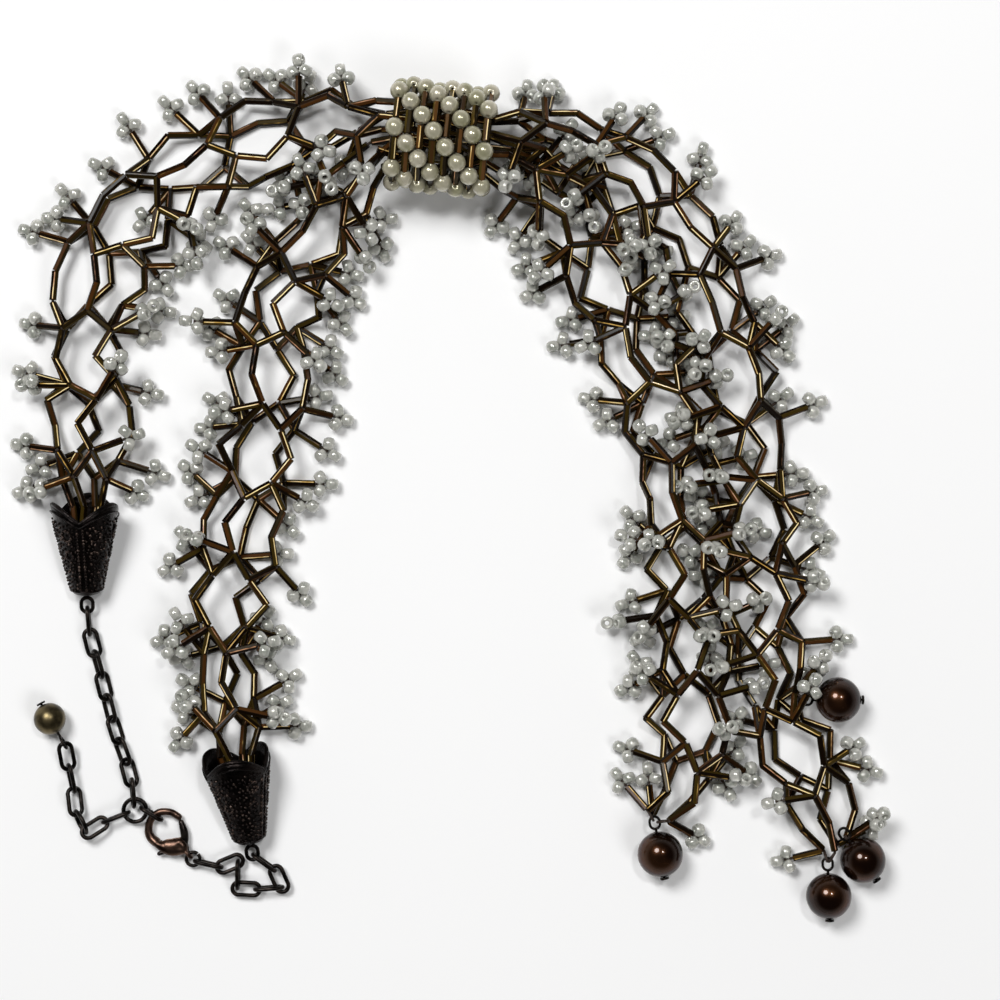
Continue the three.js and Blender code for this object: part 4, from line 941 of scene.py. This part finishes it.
CLASP_X, CLASP_Y, CLASP_TURN, CLASP_THICK = -58.0, -81.5, math.radians(41.5), 3.4
SLOT_LOW, SLOT_HIGH = 0.9, 2.5
TAIL_HOLE, TAIL_WIRE, TAIL_Y = 1.22, 0.45, 0.95
CLASP_GRAIN = 0.12
CLASP_SOFTENING = 16
LUMPS_BETWEEN = 12
Lump = namedtuple("Lump", "x y wide high")
CLAW = [
    Lump(-3.65, 7.5, 1.12, 1.30), Lump(-3.85, 8.8, 1.04, 0.98), Lump(-3.25, 10.4, 0.92, 0.80),
    Lump(-1.2, 11.95, 0.86, 0.76), Lump(1.3, 11.85, 0.84, 0.76), Lump(3.15, 10.2, 0.80, 0.74),
    Lump(3.8, 8.3, 0.78, 0.74),
]
SHOULDER = [
    Lump(0.0, 1.8, 0.9, 1.55), Lump(-0.7, 2.8, 1.5, 1.7), Lump(-1.7, 3.8, 1.9, 1.7),
    Lump(-2.75, 5.0, 1.6, 1.65), Lump(-3.4, 6.3, 1.2, 1.5), Lump(-3.75, 7.5, 0.95, 1.35),
]
BREAST = [Lump(0.0, 1.8, 0.9, 1.55), Lump(0.35, 2.8, 1.2, 1.7), Lump(0.3, 3.9, 1.25, 1.65)]
BELLY = [
    Lump(-0.3, 2.6, 1.4, 1.6), Lump(-0.8, 3.6, 2.1, 1.7), Lump(-1.5, 4.2, 2.05, 1.7),
    Lump(-2.4, 5.1, 1.8, 1.66),
]
NOTCH = [Lump(-2.6, 4.6, 1.5, 1.65), Lump(-1.1, 4.2, 1.45, 1.65), Lump(0.3, 3.9, 1.25, 1.65)]
GATE = [
    Lump(0.5, 2.9, 0.9, 0.55), Lump(1.6, 3.8, 0.9, 0.6), Lump(2.6, 5.2, 0.9, 0.85),
    Lump(3.4, 7.0, 0.66, 0.68),
]
TAB = [
    Lump(0.5, 2.9, 0.9, 0.5), Lump(-1.4, 3.6, 0.8, 0.5), Lump(-3.4, 4.5, 0.6, 0.5),
    Lump(-4.9, 5.05, 0.5, 0.5),
]

antique_copper, w, feed = surface("antiqued copper", Metallic=0.95)
stain = w.noise(420.0, 4.0)
feed("Base Color", stain.between(0.35, 0.7).blend(colour(0.032, 0.018, 0.013), colour(0.14, 0.084, 0.060)))
feed("Roughness", 0.24 + stain * 0.16)
feed("Normal", w.noise(900.0, 3.0).bump(0.00002))
dark_lever, w, feed = surface("dark cast lever", Metallic=0.9)
stain = w.noise(500.0, 3.0)
feed("Base Color", stain.between(0.35, 0.7).blend(colour(0.016, 0.013, 0.012), colour(0.075, 0.060, 0.052)))
feed("Roughness", 0.2 + stain * 0.2)


def lumps(bm, rows, keep=None):
    lump = ball_shape(1.0, 3)
    for x, y, wide, high in smooth_line(rows, LUMPS_BETWEEN):
        part = bmesh.new()
        middle = Matrix.Translation((x, y, CLASP_THICK / 2))
        stamp(part, lump, middle @ Matrix.Diagonal((wide, wide, high, 1.0)))
        if keep:
            spot, away = keep
            everything = part.verts[:] + part.edges[:] + part.faces[:]
            bmesh.ops.bisect_plane(part, geom=everything, plane_co=spot, plane_no=away, clear_outer=True)
            bmesh.ops.holes_fill(part, edges=[edge for edge in part.edges if edge.is_boundary])
        if part.faces:
            stamp(bm, mesh_of(part, "lump"), Matrix.Identity(4))
        else:
            part.free()


def cast(name, bm, material, node, body):
    bmesh.ops.transform(bm, matrix=clasp, verts=bm.verts)
    piece = finished(name, bm, material, [node], body=body)
    grain = piece.modifiers.new("cast grain", "REMESH")
    grain.mode = "VOXEL"
    grain.voxel_size = CLASP_GRAIN * MM
    grain.use_smooth_shade = True
    softening = piece.modifiers.new("tumbled edges", "SMOOTH")
    softening.factor = 0.5
    softening.iterations = CLASP_SOFTENING


clasp = Matrix.Translation((CLASP_X, CLASP_Y, 0)) @ Matrix.Rotation(CLASP_TURN, 4, "Z")
claw = bmesh.new()
lumps(claw, CLAW)
for spines in (SHOULDER, BREAST, BELLY, NOTCH):
    lumps(claw, spines, ((0, 0, SLOT_HIGH), (0, 0, -1)))
    lumps(claw, spines, ((0, 0, SLOT_LOW), (0, 0, 1)))
eyelet = wire_ring(0, TAIL_HOLE, TAIL_WIRE, sides=12, steps=40)
stamp(claw, mesh_of(eyelet, "eyelet"), Matrix.Translation((0, TAIL_Y, CLASP_THICK / 2)))
cast("clasp_claw", claw, antique_copper, "clasp_body", "necklace")
gate = bmesh.new()
lumps(gate, GATE)
lumps(gate, TAB)
cast("clasp_gate", gate, dark_lever, "clasp_lever", "lever")

ring = bmesh.new()
ring_spot = clasp @ Vector((0, -0.8, CLASP_THICK / 2))
stamp(ring, oval_wire(RING, SEAM), oval_place(ring_spot, clasp.to_3x3() @ Vector((1, 0, 0)), 0))
finished("clasp_tail_ring", ring, gunmetal, ["clasp_ring"])

# ---- Large pearls and the extender's ball ----------------------------------------------------------------
# Four chocolate-brown glass pearls hang from the nets, and a small antique brass ball ends the extender. Each
# is on a headpin, with its flat head under the bead and its other end turned into an eye. The nets' thread
# ties the pearls on: it goes from the nearest junctions round the wire of the eye and back.

PIN_HEAD, PIN_HEAD_THICK = 1.0, 0.4
HUNG_BORE = 0.5
HANGING_REACH = 4.0


def nearest_junctions(eye):
    spots = {tuple(net.points[index]) for net in nets.values() for bead in net.bugles for index in bead}
    near = [Vector(spot) for spot in sorted(spots) if (Vector(spot) - eye).length < HANGING_REACH]
    return sorted(near, key=lambda spot: (spot - eye).length)[:2]


def tie_on(bm, eye):
    for junction in nearest_junctions(eye):
        way = Vector((junction.x - eye.x, junction.y - eye.y, 0)).normalized()
        wire = eye + way * (PIN.width - PIN.wire) / 2
        clear = PIN.wire / 2 + THREAD_RADIUS
        loop = [junction, wire + UP * clear, wire - way * clear, wire - UP * clear, junction]
        for near, far in zip(loop, loop[1:]):
            stamp(bm, thread, spanning(near, far))


brown_pearl, w, feed = surface("chocolate glass pearl", Coat_Weight=0.55, Coat_Roughness=0.04, Metallic=0.8,
                               Specular_Tint=colour(0.35, 0.24, 0.18))
glow = w.noise(130.0)
feed("Base Color", glow.between(0.4, 0.7).blend(colour(0.016, 0.006, 0.003), colour(0.060, 0.024, 0.010)))
feed("Roughness", 0.2 + glow * 0.12)
old_brass, w, feed = surface("antique brass", Metallic=0.9)
wear = w.noise(300.0, 3.0)
feed("Base Color", wear.between(0.35, 0.7).blend(colour(0.038, 0.029, 0.014), colour(0.16, 0.125, 0.062)))
feed("Roughness", 0.24 + wear * 0.2)

ties = bmesh.new()
for hung in HUNG:
    turned = Matrix.Rotation(math.radians(hung.turn), 4, "Z")
    place = Matrix.Translation((hung.x, hung.y, hung.radius)) @ turned
    brass = hung.radius == BALL_RADIUS
    ball = bmesh.new()
    stamp(ball, bored_ball(hung.radius, HUNG_BORE, 24, 40), place @ Matrix.Rotation(math.pi / 2, 4, "Y"))
    finished(hung.name + "_bead", ball, old_brass if brass else brown_pearl, [hung.name])
    pin = bmesh.new()
    ahead = Vector((1, 0, 0))
    far = hung.radius + hung.neck
    head = -ahead * (hung.radius + PIN_HEAD_THICK)
    eye = ahead * (far + PIN.length / 2)
    stamp(pin, rod(PIN_HEAD, 20, PIN_HEAD_THICK), lying(head, ahead))
    stamp(pin, rod(PIN.wire / 2, 10), spanning(head, ahead * (far + WIRE_LAP)))
    stamp(pin, oval_wire(PIN), oval_place(eye, ahead, hung.spin))
    tie_on(ties, place @ eye)
    bmesh.ops.transform(pin, matrix=place, verts=pin.verts)
    finished(hung.name + "_headpin", pin, gunmetal, [hung.name + "_pin"])
finished("pearl_ties", ties, brown_nylon, ["drop_a_4", "drop_b_4"])

# ---- Table, light and camera -----------------------------------------------------------------------------
# The necklace lies on a plain near-white sheet under soft studio light, and is seen straight from above. The
# fill lamp only lightens the shadows, and isn't mirrored in the beads.

VIEW_X, VIEW_Y = 0.0114, -0.00215
VIEW_WIDE = 0.2222
VIEW_HIGH = 0.55
TABLE_SIZE = 6.0

sheet_white, w, feed = surface("white studio sheet", Roughness=0.7)
feed("Base Color", w.noise(3.0).blend(colour(0.90, 0.90, 0.90), colour(0.92, 0.92, 0.92)))
bm = bmesh.new()
bmesh.ops.create_grid(bm, x_segments=4, y_segments=4, size=TABLE_SIZE / 2)
table_mesh = mesh_of(bm, "table")
table_mesh.materials.append(sheet_white)
table = bpy.data.objects.new("table", table_mesh)
bpy.context.scene.collection.objects.link(table)

world = bpy.data.worlds.new("studio")
world.use_nodes = True
w = Wire(world.node_tree)
height = w.node("ShaderNodeSeparateXYZ", Vector=w.node("ShaderNodeTexCoord", out=0), out=2)
room = height.between(0.03, 0.55).blend(colour(0.60, 0.59, 0.57), colour(0.02, 0.02, 0.02))
world.node_tree.links.new(room.socket, world.node_tree.nodes["Background"].inputs["Color"])
bpy.context.scene.world = world

Lamp = namedtuple("Lamp", "name x y z size power mirrored")
LAMPS = [
    Lamp("window", -0.42, 0.52, 1.10, 0.50, 12.5, True),
    Lamp("spark", 0.26, 0.36, 1.20, 0.15, 3.2, True),
    Lamp("fill", 0.60, -0.60, 1.00, 0.60, 4.3, False),
]
for lamp in LAMPS:
    light = bpy.data.lights.new(lamp.name, "AREA")
    light.shape = "DISK"
    light.size = lamp.size
    light.energy = lamp.power
    stand = bpy.data.objects.new(lamp.name, light)
    stand.location = (lamp.x, lamp.y, lamp.z)
    stand.rotation_euler = (-stand.location).to_track_quat("-Z", "Y").to_euler()
    stand.visible_glossy = lamp.mirrored
    bpy.context.scene.collection.objects.link(stand)

lens = bpy.data.cameras.new("camera")
lens.sensor_width = 36.0
lens.lens = lens.sensor_width * VIEW_HIGH / VIEW_WIDE
camera = bpy.data.objects.new("camera", lens)
camera.location = (VIEW_X, VIEW_Y, VIEW_HIGH)
bpy.context.scene.collection.objects.link(camera)
bpy.context.scene.camera = camera
bpy.context.scene.view_settings.view_transform = "Standard"
